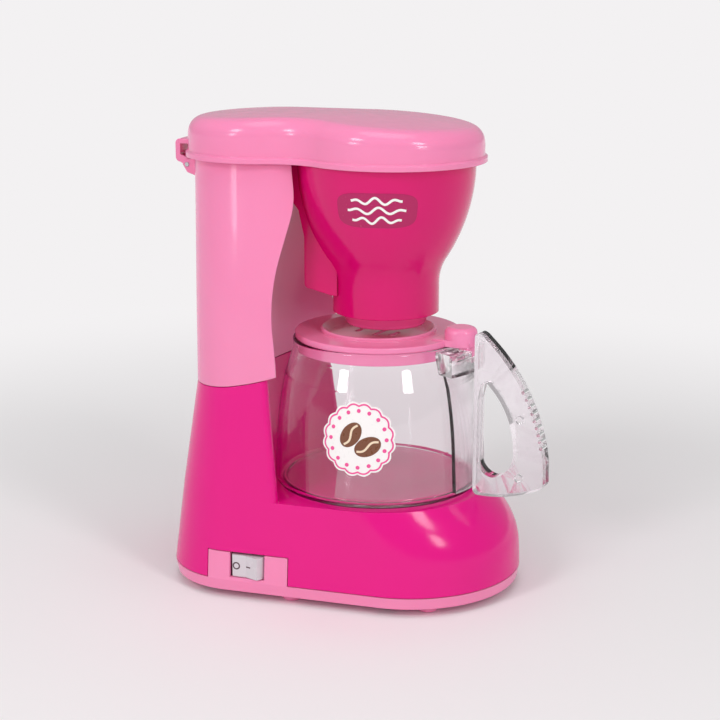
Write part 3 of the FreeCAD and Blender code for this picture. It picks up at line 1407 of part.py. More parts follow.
impeller.Tip = vanes
place(impeller, pump_x, pump_y + jug_y)
finish(impeller)

tube_seat = S("chamber_top") + S("pump_wall")
suction_tube = finish(pump_part("suction_tube", [
    (S("tube_bore"), tube_seat), (S("tube_radius"), tube_seat),
    (S("tube_radius"), S("tank_floor") + fit_gap), (S("tube_bore"), S("tank_floor") + fit_gap)]))

delivery_tube = doc.addObject("PartDesign::Body", "delivery_tube")
delivery_tube.Label = "delivery_tube"
bend, crest, drop_y = S("tube_bend"), S("tube_crest"), S("tube_drop_y") - S("pump_y")
path = delivery_tube.newObject("Sketcher::SketchObject", "tube_path")
path.AttachmentSupport = [(origin_plane(delivery_tube, "YZ_Plane"), "")]
path.MapMode = "FlatFace"
stops = [(as_length(0.0), tube_seat), (as_length(0.0), crest - bend), (-bend, crest),
         (drop_y + bend, crest), (drop_y, crest - bend), (drop_y, S("tube_end"))]
points = [V(y.value, z.value, 0) for y, z in stops]
runs = []
for n in range(5):
    if n in (1, 3):
        runs.append(path.addGeometry(arc_between(points[n], points[n + 1], bend.value), False))
        bind(path, "Radius", (runs[-1],), bend)
    else:
        runs.append(path.addGeometry(Part.LineSegment(points[n], points[n + 1]), False))
for n in range(4):
    path.addConstraint(Sketcher.Constraint("Coincident", runs[n], 2, runs[n + 1], 1))
for n, (y, z) in enumerate(stops[:5]):
    place_point(path, runs[n], 1, y, z)
place_point(path, runs[4], 2, *stops[5])
mouth = new_sketch(delivery_tube, "tube_mouth", "XY_Plane", tube_seat)
ring(mouth, 0.0, 0.0, S("tube_radius"))
ring(mouth, 0.0, 0.0, S("tube_bore"))
pipe = delivery_tube.newObject("PartDesign::AdditivePipe", "tube_pipe")
pipe.Profile = mouth
pipe.Spine = (path, [""])
place(delivery_tube, delivery_x, pump_y + jug_y)
finish(delivery_tube)

# Checks and files

doc.recompute()
for obj in doc.Objects:
    if "Invalid" in obj.State or "Error" in obj.State:
        raise RuntimeError("%s could not be made" % obj.Label)
for node in nodes_made:
    if node.Shape.isNull() or not node.Shape.isValid():
        raise RuntimeError("%s has no sound shape" % node.Label)

os.makedirs("parts", exist_ok=True)
for node in nodes_made:
    node.Shape.exportStep(os.path.join("parts", node.Label + ".step"))
    print("%-20s %2d solids %9.0f mm3" % (node.Label, len(node.Shape.Solids), node.Shape.Volume))
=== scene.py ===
import json
import math

import bmesh
import bpy
import numpy as np
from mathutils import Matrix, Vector

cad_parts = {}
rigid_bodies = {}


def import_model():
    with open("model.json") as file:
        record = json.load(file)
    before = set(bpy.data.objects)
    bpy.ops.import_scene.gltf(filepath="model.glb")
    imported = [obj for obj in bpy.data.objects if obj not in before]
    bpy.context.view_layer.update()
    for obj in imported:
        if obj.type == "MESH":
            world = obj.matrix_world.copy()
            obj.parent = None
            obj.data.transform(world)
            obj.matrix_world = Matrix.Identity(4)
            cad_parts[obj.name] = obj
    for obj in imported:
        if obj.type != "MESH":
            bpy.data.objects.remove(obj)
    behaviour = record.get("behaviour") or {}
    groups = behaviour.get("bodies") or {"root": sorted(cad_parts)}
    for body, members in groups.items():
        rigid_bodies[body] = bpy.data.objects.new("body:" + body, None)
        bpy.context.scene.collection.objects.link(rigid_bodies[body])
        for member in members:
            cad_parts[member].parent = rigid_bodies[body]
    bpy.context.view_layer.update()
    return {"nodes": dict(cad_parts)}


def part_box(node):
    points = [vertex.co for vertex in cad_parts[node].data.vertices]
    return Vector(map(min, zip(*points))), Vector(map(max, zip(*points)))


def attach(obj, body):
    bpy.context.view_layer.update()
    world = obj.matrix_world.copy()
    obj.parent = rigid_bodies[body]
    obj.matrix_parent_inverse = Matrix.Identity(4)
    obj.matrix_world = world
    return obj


for leftover in list(bpy.data.objects):
    bpy.data.objects.remove(leftover)

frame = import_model()
nodes = frame["nodes"]
mm = 0.001
fullTurn = 2 * math.pi
print("frame loaded:", len(nodes), "nodes")

# Lengths are in millimetres and angles in degrees, unless a note says otherwise. Angles round
# the jug and the hopper count anticlockwise from +X, seen from above.
jug = {"axis": (0.0, -5.0), "handleAngle": 258.0}
hopper = {"axis": (0.0, -8.0)}


# A hex colour as Blender counts it: each channel's screen curve undone.
def linear(hexColour):
    channels = [int(hexColour[i:i + 2], 16) / 255 for i in (1, 3, 5)]
    bent = [c / 12.92 if c <= 0.04045 else ((c + 0.055) / 1.055) ** 2.4 for c in channels]
    return (*bent, 1.0)


# Gives a node's inputs their values: another node's output is linked, anything else is set.
def feed(tree, node, inputs):
    for name, value in inputs.items():
        if isinstance(value, bpy.types.NodeSocket):
            tree.links.new(value, node.inputs[name])
        else:
            node.inputs[name].default_value = value


def addNode(tree, kind, inputs=None, **settings):
    made = tree.nodes.new(kind)
    for name, value in settings.items():
        setattr(made, name, value)
    feed(tree, made, inputs or {})
    return made


def startMaterial(name):
    material = bpy.data.materials.new(name)
    material.use_nodes = True
    tree = material.node_tree
    tree.nodes.clear()
    surface = addNode(tree, "ShaderNodeBsdfPrincipled")
    addNode(tree, "ShaderNodeOutputMaterial", {"Surface": surface.outputs["BSDF"]})
    place = addNode(tree, "ShaderNodeTexCoord").outputs["Object"]
    return material, tree, surface, place


# A texture's scale from the real size of one of its patches, waves or grains.
def scaleOf(size):
    return 1 / (size * mm)


# A value that wanders from low to high in patches: the middle part of a noise, stretched.
def wander(tree, place, size, low, high):
    noise = addNode(tree, "ShaderNodeTexNoise", {
        "Vector": place,
        "Scale": scaleOf(size),
        "Detail": 4.0,
    })
    return addNode(tree, "ShaderNodeMapRange", {
        "Value": noise.outputs["Fac"],
        "From Min": 0.3,
        "From Max": 0.7,
        "To Min": low,
        "To Max": high,
    }).outputs["Result"]


# Small hills and dips of a given size and height, laid over the normal that comes in.
def hills(tree, place, size, height, detail, normal=None):
    noise = addNode(tree, "ShaderNodeTexNoise", {
        "Vector": place,
        "Scale": scaleOf(size),
        "Detail": detail,
    })
    inputs = {"Height": noise.outputs["Fac"], "Distance": height * mm}
    if normal is not None:
        inputs["Normal"] = normal
    return addNode(tree, "ShaderNodeBump", inputs).outputs["Normal"]


# One for the kinds of ray that are named, nothing for the others.
def rayShare(tree, firstKind, *otherKinds):
    rays = addNode(tree, "ShaderNodeLightPath").outputs
    share = rays[firstKind]
    for kind in otherKinds:
        pair = {0: share, 1: rays[kind]}
        share = addNode(tree, "ShaderNodeMath", pair, operation="MAXIMUM").outputs["Value"]
    return share


# Puts another shader in the place of the surface's own, as far as the share says.
def showInstead(tree, surface, other, share):
    mixed = addNode(tree, "ShaderNodeMixShader", {
        "Fac": share,
        1: surface.outputs["BSDF"],
        2: other.outputs[0],
    })
    output = next(node for node in tree.nodes if node.type == "OUTPUT_MATERIAL")
    feed(tree, output, {"Surface": mixed.outputs["Shader"]})


moulded = {
    "waveSize": 22.2,  # long soft waves, where a thick wall has shrunk in the mould
    "waveHeight": 0.12,
    "grainSize": 1.11,  # the real grain is finer than a pixel, so it is drawn coarser
    "grainHeight": 0.0015,
    "edgeRadius": 0.4,
    "mottleSize": 33.3,
    "mottleShare": 0.3,
    "glossSize": 6.25,
    "smoother": 0.03,
    "rougher": 0.05,
    "ior": 1.5,
    "specularLevel": 0.36,
    "glowReach": 2.0,
    "glowColour": (1.0, 0.35, 0.45),
}


# Moulded plastic: an even colour with a darker mottle, rounded edges, waves and fine grain,
# and a gloss that is a little uneven, so that long highlights waver as on a real moulding.
def mouldedPlastic(name, colour, darker, roughness=0.16, glow=0.0):
    material, tree, surface, place = startMaterial(name)
    mottle = addNode(tree, "ShaderNodeMix", {
        "Factor": wander(tree, place, moulded["mottleSize"], 0.0, moulded["mottleShare"]),
        "A": linear(colour),
        "B": linear(darker),
    }, data_type="RGBA")
    smoothest, roughest = roughness - moulded["smoother"], roughness + moulded["rougher"]
    edges = {"Radius": moulded["edgeRadius"] * mm}
    normal = addNode(tree, "ShaderNodeBevel", edges, samples=6).outputs["Normal"]
    normal = hills(tree, place, moulded["waveSize"], moulded["waveHeight"], 1.0, normal)
    normal = hills(tree, place, moulded["grainSize"], moulded["grainHeight"], 2.0, normal)
    feed(tree, surface, {
        "Base Color": mottle.outputs["Result"],
        "Roughness": wander(tree, place, moulded["glossSize"], smoothest, roughest),
        "Normal": normal,
        "IOR": moulded["ior"],
        "Specular IOR Level": moulded["specularLevel"],
        "Subsurface Weight": glow,
        "Subsurface Radius": moulded["glowColour"],
        "Subsurface Scale": moulded["glowReach"] * mm,
    })
    return material


clear = {
    "waveSize": 16.7,
    "glossSize": 8.33,
    "glossSwing": 0.4,
    "ior": 1.46,
    "tint": "#FCF8FB",
}


# Clear plastic: bends what is seen through it and keeps sharp highlights. Lamp light and
# scattered light go straight through, as through a thin wall, so what is inside stays bright.
def clearPlastic(name, colour, roughness, waveHeight):
    material, tree, surface, place = startMaterial(name)
    swing = roughness * clear["glossSwing"]
    feed(tree, surface, {
        "Base Color": linear(colour),
        "Transmission Weight": 1.0,
        "IOR": clear["ior"],
        "Roughness": wander(tree, place, clear["glossSize"], roughness - swing, roughness + swing),
        "Normal": hills(tree, place, clear["waveSize"], waveHeight, 1.0),
    })
    straight = addNode(tree, "ShaderNodeBsdfTransparent", {"Color": linear(clear["tint"])})
    showInstead(tree, surface, straight, rayShare(tree, "Is Shadow Ray", "Is Diffuse Ray"))
    return material


sheenSize = 2.5  # patches of brighter and duller metal


# Bare or plated metal: one grey, with a sheen that changes in small patches.
def metal(name, colour, smoothest, roughest):
    material, tree, surface, place = startMaterial(name)
    feed(tree, surface, {
        "Base Color": linear(colour),
        "Metallic": 1.0,
        "Roughness": wander(tree, place, sheenSize, smoothest, roughest),
    })
    return material


inkFilm = {"patchSize": 1.43, "smoother": 0.05, "rougher": 0.08}


# Pad-printed ink: flat colour, duller than the plastic under it.
def printedInk(name, colour, roughness=0.3):
    material, tree, surface, place = startMaterial(name)
    smoothest, roughest = roughness - inkFilm["smoother"], roughness + inkFilm["rougher"]
    feed(tree, surface, {
        "Base Color": linear(colour),
        "Roughness": wander(tree, place, inkFilm["patchSize"], smoothest, roughest),
    })
    return material


cellJacket = {
    "body": "#2B2B30",
    "cap": "#B4713A",
    "capFrom": 0.72,  # as a share of the cell's length
    "metallic": 0.8,
    "roughness": 0.3,
}


# A cell's printed metal film: dark along most of its length and copper at one end.
def batteryJacket(name):
    material, tree, surface, place = startMaterial(name)
    along = addNode(tree, "ShaderNodeSeparateXYZ", {"Vector": place}).outputs["Y"]
    ramp = addNode(tree, "ShaderNodeValToRGB", {"Fac": addNode(tree, "ShaderNodeMapRange", {
        "Value": along,
        "From Min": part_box("battery_left")[0].y,
        "From Max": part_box("battery_left")[1].y,
    }).outputs["Result"]})
    ramp.color_ramp.interpolation = "CONSTANT"
    ramp.color_ramp.elements[0].color = linear(cellJacket["body"])
    ramp.color_ramp.elements[1].position = cellJacket["capFrom"]
    ramp.color_ramp.elements[1].color = linear(cellJacket["cap"])
    feed(tree, surface, {
        "Base Color": ramp.outputs["Color"],
        "Metallic": cellJacket["metallic"],
        "Roughness": cellJacket["roughness"],
    })
    return material


materialOf = {
    # Polystyrene from a polished mould: bright, wet-looking gloss and a faint inner glow.
    "hotPinkPolystyrene": mouldedPlastic("hotPinkPolystyrene", "#EA0688", "#E10580", 0.15, 0.08),
    # The hopper's copy of the shell's hot pink: a little less magenta, and darker by painted
    # shade, for the shade that falls on the hopper.
    "hotPinkPaintedShadePolystyrene": mouldedPlastic("hotPinkPaintedShadePolystyrene", "#DC056F", "#D4046A", 0.13, 0.08),
    "palePinkPolystyrene": mouldedPlastic("palePinkPolystyrene", "#F88FBB", "#F385B3", 0.14, 0.12),
    "midPinkPolystyrene": mouldedPlastic("midPinkPolystyrene", "#F25C9E", "#EA5296", 0.18, 0.1),
    # ABS from a satin mould: soft, wide highlights.
    "greyAbs": mouldedPlastic("greyAbs", "#D9D3D8", "#D0CAD0", 0.25),
    # Moulded nylon: nearly matt, so the housing reads as a dark gap round the rocker.
    "blackNylon": mouldedPlastic("blackNylon", "#1E1A1D", "#171417", 0.4),
    # Moulded acetal: milky white with a waxy half gloss.
    "whiteAcetal": mouldedPlastic("whiteAcetal", "#EFEDEA", "#E6E3E0", 0.3),
    # Clear polystyrene: nearly colourless, with small sharp highlights.
    "clearPolystyrene": clearPlastic("clearPolystyrene", "#FFFCFE", 0.02, 0.05),
    # The same plastic in the saddle, slightly hazy, so its inner edges show soft.
    "clearSaddlePolystyrene": clearPlastic("clearSaddlePolystyrene", "#FFFCFE", 0.16, 0.04),
    # Vinyl tube, extruded: hazy and faintly yellow.
    "softClearVinyl": clearPlastic("softClearVinyl", "#F3F1EC", 0.2, 0.03),
    # Steel plated with zinc: cool and bright, with a patchy sheen.
    "zincPlatedSteel": metal("zincPlatedSteel", "#C9C9CC", 0.22, 0.38),
    # Deep-drawn steel of the motor's can: greyer and duller.
    "drawnSteel": metal("drawnSteel", "#B9B9BD", 0.3, 0.45),
    "batteryJacket": batteryJacket("batteryJacket"),
}
madeOf = {
    "hotPinkPolystyrene": ["base_shell"],
    # The hopper takes the hot pink with painted shade in its colour.
    "hotPinkPaintedShadePolystyrene": ["brew_hopper"],
    "palePinkPolystyrene": [
        "base_plate", "foot_pads", "battery_door", "water_tank", "top_lid", "jug_lid",
    ],
    "midPinkPolystyrene": ["drip_nozzle"],
    "greyAbs": ["switch_rocker"],
    "blackNylon": ["switch_housing"],
    "whiteAcetal": ["pump_housing", "impeller"],
    "clearPolystyrene": ["jug_body", "handle_half_near", "handle_half_far"],
    "clearSaddlePolystyrene": ["handle_saddle"],
    "softClearVinyl": ["suction_tube", "delivery_tube"],
    "zincPlatedSteel": [
        "battery_door_screw", "plate_screws", "hopper_screws", "hinge_pin", "jug_lid_pin",
        "contact_plates",
    ],
    "drawnSteel": ["pump_motor"],
    "batteryJacket": ["battery_left", "battery_right"],
}
for materialName, members in madeOf.items():
    for member in members:
        shown = nodes[member].data
        shown.materials.clear()
        shown.materials.append(materialOf[materialName])
bpy.context.view_layer.update()
print("CAD nodes painted")

# Opaque inks of the prints, and under the label's lines a glossy coloured film.
whiteInk = printedInk("whiteInk", "#FBF7F6")
brownInk = printedInk("brownInk", "#7A4A33")
creamInk = printedInk("creamInk", "#F3DCC0")
pinkInk = printedInk("pinkInk", "#F2559B")
magentaFilm = printedInk("magentaFilm", "#B5095C", 0.2)
plumInk = printedInk("plumInk", "#4A2A38", 0.4)


# Four-sided faces between the points of a grid that is kept row by row. A closed grid also
# joins its last column to its first, and a looped one its last row to its first.
def gridFaces(rows, columns, closed, looped=False):
    row, column = np.meshgrid(
        np.arange(rows if looped else rows - 1),
        np.arange(columns if closed else columns - 1),
        indexing="ij",
    )
    below, after = (row + 1) % rows, (column + 1) % columns
    corners = [
        row * columns + column,
        row * columns + after,
        below * columns + after,
        below * columns + column,
    ]
    return [tuple(face) for face in np.stack(corners, axis=-1).reshape(-1, 4).tolist()]


# A filled shape: rings of the outline shrunk towards its middle, the smallest one closed.
def filled(outline, rings=7):
    shares = np.linspace(1.0, 0.08, rings)[:, None, None]
    middle = outline.mean(axis=0)
    points = (middle + (outline - middle) * shares).reshape(-1, 2)
    count = len(outline)
    faces = gridFaces(rings, count, True)
    faces.append(tuple(range((rings - 1) * count, rings * count)))
    return points, faces


# A line of even width: its points moved half the width to both sides, square to its run.
def band(line, width, closed=False):
    if closed:
        run = np.roll(line, -1, axis=0) - np.roll(line, 1, axis=0)
    else:
        run = np.gradient(line, axis=0)
    run = run / np.linalg.norm(run, axis=1)[:, None]
    side = np.stack([-run[:, 1], run[:, 0]], axis=1) * width / 2
    points = np.concatenate([line - side, line, line + side])
    return points, gridFaces(3, len(line), closed)


# A circle: cosine and sine of an even turn, times the radius.
def circle(radius, count=48):
    turn = np.linspace(0.0, fullTurn, count, endpoint=False)
    return np.stack([np.cos(turn), np.sin(turn)], axis=1) * radius


# Flat points turned about their middle and then moved.
def moved(points, across, up, turnDegrees=0.0):
    turn = math.radians(turnDegrees)
    spin = np.array([[math.cos(turn), math.sin(turn)], [-math.sin(turn), math.cos(turn)]])
    return points @ spin + np.array([across, up])


# Several sheets as one: the faces of each count on from the points before it.
def gathered(parts):
    points, faces, count = [], [], 0
    for somePoints, someFaces in parts:
        points.append(somePoints)
        faces += [tuple(index + count for index in face) for face in someFaces]
        count += len(somePoints)
    return np.concatenate(points), faces


# Where rays meet a CAD node: X, Y and Z for each ray, and no numbers where one misses.
def skinHits(node, starts, ways):
    missed = (math.nan, math.nan, math.nan)
    hits = []
    for start, way in zip(*np.broadcast_arrays(starts, ways)):
        found, place, _, _ = nodes[node].ray_cast(Vector(start), Vector(way))
        hits.append(tuple(place) if found else missed)
    return np.array(hits)


wrap = {"levels": 24, "rays": 33, "halfSweep": 24.0, "rayFrom": 80.0}


# Lays flat points round a turned node. The radius at a height is the largest that rays
# from outside meet there, so the sheet lies on the corners of the facets, not inside them.
def layRound(node, axis, angle, level, points, lift):
    middle = np.array(axis) * mm
    low, high = points[:, 1].min(), points[:, 1].max()
    heights = (level + np.linspace(low, high, wrap["levels"])) * mm
    turns = np.radians(angle + np.linspace(-wrap["halfSweep"], wrap["halfSweep"], wrap["rays"]))
    height, turn = [axes.ravel() for axes in np.meshgrid(heights, turns, indexing="ij")]
    away = np.column_stack([np.cos(turn), np.sin(turn)])
    starts = np.column_stack([middle + away * wrap["rayFrom"] * mm, height])
    hits = skinHits(node, starts, np.column_stack([-away, np.zeros(len(away))]))
    met = np.linalg.norm(hits[:, :2] - middle, axis=1).reshape(wrap["levels"], wrap["rays"])
    radii = np.nanmax(met, axis=1)
    height = (level + points[:, 1]) * mm
    radius = np.interp(height, heights, radii) + lift * mm
    turn = math.radians(angle) + points[:, 0] * mm / radii[len(radii) // 2]
    return np.column_stack([
        middle[0] + radius * np.cos(turn),
        middle[1] + radius * np.sin(turn),
        height,
    ])


def addPiece(name, points, faces, material, body):
    mesh = bpy.data.meshes.new(name)
    mesh.from_pydata(points.tolist(), [], faces)
    mesh.shade_smooth()
    mesh.materials.append(material)
    piece = bpy.data.objects.new(name, mesh)
    bpy.context.scene.collection.objects.link(piece)
    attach(piece, body)
    return piece


lidCover = {
    "frontY": -10.0,
    "frontRadius": 35.08,
    "rearY": 41.5,
    "rearRadius": 28.58,
    "waistRadius": 25.0,
    "lipOut": 1.0,
    "lipHeight": 2.2,
    "lipRound": 0.5,
    "lipShare": 0.35,  # how far out, between wall and lip, the lip's upper edge is
    "wallFoot": 0.15,
    "edgeRadius": 6.5,
    "crownRadius": 520.0,
    "crownY": 23.0,
    "cover": 0.08,
    "seatGap": 0.3,  # from the hopper's top up to the lid's underside
    "under": 0.05,
    "inWall": 0.8,  # how far the cover's foot reaches into the lid's wall
    "rayUp": 0.8,
    "rayOut": 5.0,
    "edgeRows": 12,
    "crownRows": 14,
    "sharpFrom": 40.0,
}


# The lid's plan: a front circle and a rear circle, joined on both sides by hollow arcs that
# touch them. The arc's middle is as far from each circle's middle as both radii added up.
def waistMiddle(out):
    front = lidCover["frontRadius"] + out
    rear = lidCover["rearRadius"] + out
    hollow = lidCover["waistRadius"] - out
    span = lidCover["rearY"] - lidCover["frontY"]
    along = ((front + hollow) ** 2 - (rear + hollow) ** 2 + span ** 2) / (2 * span)
    across = math.sqrt((front + hollow) ** 2 - along ** 2)
    return front, rear, hollow, across, lidCover["frontY"] + along


def arc(x, y, radius, start, end, count):
    turn = np.linspace(start, end, count, endpoint=False)
    return np.stack([x + radius * np.cos(turn), y + radius * np.sin(turn)], axis=1)


# The plan's points, anticlockwise: front circle, right hollow, rear circle, left hollow. The
# last number of each arc is its count of points.
def lidPlan(out):
    front, rear, hollow, across, along = waistMiddle(out)
    low = math.atan2(along - lidCover["frontY"], across)
    high = math.atan2(along - lidCover["rearY"], across)
    half = math.pi
    return np.concatenate([
        arc(0.0, lidCover["frontY"], front, half - low, fullTurn + low, 160),
        arc(across, along, hollow, low + half, high + half, 40),
        arc(0.0, lidCover["rearY"], rear, high, half - high, 120),
        arc(-across, along, hollow, -high, -low, 40),
    ])


# Height over the plan: a shallow bowl upside down, brought down at the edge by a quarter
# circle of the distance from the edge.
def lidHeight(plan, top):
    front, rear, hollow, across, along = waistMiddle(0.0)
    x, y = np.abs(plan[:, 0]), plan[:, 1]
    turn = np.arctan2(y - along, x - across) % fullTurn
    low = math.atan2(along - lidCover["frontY"], across) + math.pi
    high = math.atan2(along - lidCover["rearY"], across) + math.pi
    inner = np.maximum(
        front - np.hypot(x, y - lidCover["frontY"]),
        rear - np.hypot(x, y - lidCover["rearY"]),
    )
    waist = np.hypot(x - across, y - along) - hollow
    distance = np.where((turn > high) & (turn < low), waist, inner)
    edge = lidCover["edgeRadius"]
    short = np.clip(edge - distance, 0.0, edge)
    bowl = (x ** 2 + (y - lidCover["crownY"]) ** 2) / (2 * lidCover["crownRadius"])
    return top - bowl - edge + np.sqrt(edge ** 2 - short ** 2)


# The lid's cover: rows of its plan from a foot hidden in the lid's wall, round the lip, up the
# wall, and inward over the crown to the line between the two circles' middles.
def makeLidCover():
    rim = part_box("brew_hopper")[1].z / mm + lidCover["seatGap"]
    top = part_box("top_lid")[1].z / mm + lidCover["cover"]
    lip, wall = lidPlan(lidCover["lipOut"]), lidPlan(0.0)
    between = np.clip(wall[:, 1], lidCover["frontY"], lidCover["rearY"])
    spine = np.column_stack([np.zeros(len(wall)), between])
    inward = (spine - lip) / np.linalg.norm(spine - lip, axis=1)[:, None]
    level = np.full(len(lip), (rim + lidCover["rayUp"]) * mm)
    starts = np.column_stack([(lip - inward * lidCover["rayOut"]) * mm, level])
    hits = skinHits("top_lid", starts, np.column_stack([inward, np.zeros(len(inward))]))
    foot = hits[:, :2] / mm + inward * lidCover["inWall"]
    share = lidCover["lipShare"]
    shoulder = rim + lidCover["lipHeight"]
    rows = [
        (plan, np.full(len(plan), height))
        for plan, height in (
            (foot, rim - lidCover["under"]),
            (lip, rim - lidCover["under"]),
            (lip, shoulder - lidCover["lipRound"]),
            (lip * share + wall * (1 - share), shoulder),
            (wall, shoulder + lidCover["wallFoot"]),
        )
    ]
    # Near the edge the steps inward are those of a quarter circle, then even ones.
    reach = np.linalg.norm(wall - spine, axis=1)[:, None]
    turn = np.linspace(0.0, math.pi / 2, lidCover["edgeRows"])
    steps = lidCover["edgeRadius"] * (1 - np.cos(turn))
    shares = [np.minimum(width / reach, 0.9) for width in steps]
    last = shares[-1]
    onward = np.linspace(0.08, 1.0, lidCover["crownRows"])
    shares += [last + (1 - last) * share for share in onward]
    plans = [wall + (spine - wall) * share for share in shares]
    rows += [(plan, lidHeight(plan, top)) for plan in plans]
    points = np.concatenate([np.column_stack([plan, height]) for plan, height in rows]) * mm
    piece = addPiece(
        "lidCover", points, gridFaces(len(rows), len(lip), True),
        materialOf["palePinkPolystyrene"], "lid",
    )
    # The rows meet at the circles' middles, so points that coincide there become one.
    shape = bmesh.new()
    shape.from_mesh(piece.data)
    bmesh.ops.remove_doubles(shape, verts=shape.verts, dist=0.02 * mm)
    shape.to_mesh(piece.data)
    shape.free()
    piece.data.shade_smooth()
    piece.data.set_sharp_from_angle(angle=math.radians(lidCover["sharpFrom"]))
    print("lid cover made")


footRing = {"inFromWall": 3.9, "aboveFoot": 2.2, "thickness": 1.0, "flatness": 0.75}


# The ring in the jug's floor: a circle carried round the jug's axis, pressed a little flat.
def makeFootRing():
    low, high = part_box("jug_body")
    reach = (high.x - low.x) / 2 / mm - footRing["inFromWall"]
    rows, columns = 16, 160
    turn, around = np.meshgrid(
        np.linspace(0.0, fullTurn, columns, endpoint=False),
        np.linspace(0.0, fullTurn, rows, endpoint=False),
    )
    radius = reach + footRing["thickness"] * np.cos(around)
    height = footRing["thickness"] * footRing["flatness"] * np.sin(around)
    points = np.stack([
        (jug["axis"][0] + radius * np.cos(turn)) * mm,
        (jug["axis"][1] + radius * np.sin(turn)) * mm,
        low.z + (footRing["aboveFoot"] + height) * mm,
    ], axis=-1).reshape(-1, 3)
    faces = gridFaces(rows, columns, True, looped=True)
    piece = addPiece("jugFootRing", points, faces, materialOf["clearPolystyrene"], "jug")
    print("jug's foot ring made")


badge = {
    "angle": 185.6,
    "level": 66.8,
    "radius": 13.2,
    "scallops": 16,
    "scallopDepth": 0.07,
    "lift": 0.06,
    "lineShare": 0.93,  # the line's distance from the middle, as a share of the edge's
    "lineWidth": 0.6,
    "lineLift": 0.12,
}


def onJug(points, lift):
    return layRound("jug_body", jug["axis"], badge["angle"], badge["level"], points, lift)


# The badge's edge: a circle whose radius rises and falls as the size of a sine, once a scallop.
def makeBadge():
    turn = np.linspace(0.0, fullTurn, 24 * badge["scallops"], endpoint=False)
    swell = 1 + badge["scallopDepth"] * np.abs(np.sin(turn * badge["scallops"] / 2))
    edge = np.stack([np.cos(turn), np.sin(turn)], axis=1) * (swell * badge["radius"])[:, None]
    points, faces = filled(edge)
    addPiece("jugBadge", onJug(points, badge["lift"]), faces, whiteInk, "jug")
    points, faces = band(edge * badge["lineShare"], badge["lineWidth"], True)
    addPiece("jugBadgeLine", onJug(points, badge["lineLift"]), faces, pinkInk, "jug")
    print("badge printed")


bean = {
    "halfLength": 5.2,
    "halfWidth": 3.5,
    "lift": 0.12,
    "creaseReach": 0.86,  # shares of the bean's half length and half width
    "creaseSway": 0.22,
    "creaseWidth": 0.8,
    "creaseLift": 0.18,
    "places": [(-2.8, 1.6, 55.0), (3.6, -2.6, 25.0)],  # across, up and turn of each bean
}


# A bean: an ellipse with a crease that sways once along it.
def makeBeans():
    body = filled(circle(1.0) * np.array([bean["halfLength"], bean["halfWidth"]]))
    share = np.linspace(-1.0, 1.0, 25)
    sway = np.stack([
        share * bean["halfLength"] * bean["creaseReach"],
        np.sin(share * math.pi) * bean["halfWidth"] * bean["creaseSway"],
    ], axis=1)
    crease = band(sway, bean["creaseWidth"])
    for name, (flat, faces), lift, ink in (
        ("jugBadgeBeans", body, bean["lift"], brownInk),
        ("jugBadgeCreases", crease, bean["creaseLift"], creamInk),
    ):
        points, faces = gathered([(moved(flat, *place), faces) for place in bean["places"]])
        addPiece(name, onJug(points, lift), faces, ink, "jug")
    print("beans printed")


dots = {"radius": 0.75, "ringRadius": 10.6, "count": 16, "lift": 0.12}


# The dots: small circles with their middles evenly on a large one.
def makeDots():
    flat, faces = filled(circle(dots["radius"], 16), 2)
    middles = circle(dots["ringRadius"], dots["count"])
    points, faces = gathered([(flat + middle, faces) for middle in middles])
    addPiece("jugBadgeDots", onJug(points, dots["lift"]), faces, pinkInk, "jug")
    print("dots printed")


label = {
    "angle": 190.0,
    "level": 151.0,
    "halfWidth": 15.0,
    "halfHeight": 6.5,
    "squareness": 0.5,  # 1 is an ellipse, and less is nearer to a rectangle
    "lift": 0.08,
    "waves": 3,
    "waveGap": 0.55,  # shares of the half height, down to waveSway
    "waveSway": 0.2,
    "waveReach": 0.72,  # shares of the half width
    "outerShorter": 0.1,
    "halfTurns": 2.5,
    "lineWidth": 0.9,
    "lineLift": 0.144,
}


# The label: a rounded bar, and on it steam lines that sway like a sine and fade in sway
# towards both ends.
def makeLabel():
    def onHopper(points, lift):
        return layRound(
            "brew_hopper", hopper["axis"], label["angle"], label["level"], points, lift,
        )

    round96 = circle(1.0, 96)
    bar = np.sign(round96) * np.abs(round96) ** label["squareness"]
    points, faces = filled(bar * np.array([label["halfWidth"], label["halfHeight"]]))
    addPiece("hopperLabel", onHopper(points, label["lift"]), faces, magentaFilm, "machine")
    parts = []
    share = np.linspace(-1.0, 1.0, 41)
    for row in range(label["waves"]):
        fromMiddle = row - (label["waves"] - 1) / 2
        up = fromMiddle * label["halfHeight"] * label["waveGap"]
        reach = label["halfWidth"] * (label["waveReach"] - label["outerShorter"] * abs(fromMiddle))
        wave = np.sin(share * label["halfTurns"] * math.pi + row) * (1 - share ** 2)
        height = up + wave * label["halfHeight"] * label["waveSway"]
        parts.append(band(np.stack([share * reach, height], axis=1), label["lineWidth"]))
    points, faces = gathered(parts)
    addPiece(
        "hopperLabelLines", onHopper(points, label["lineLift"]), faces, whiteInk, "machine",
    )
    print("label printed")


marks = {
    "ringAlong": -4.4,
    "ringRadius": 1.25,
    "barAlong": 0.6,
    "barHalf": 0.95,
    "lineWidth": 0.5,
    "lift": 0.03,
    "rayFrom": 10.0,
}


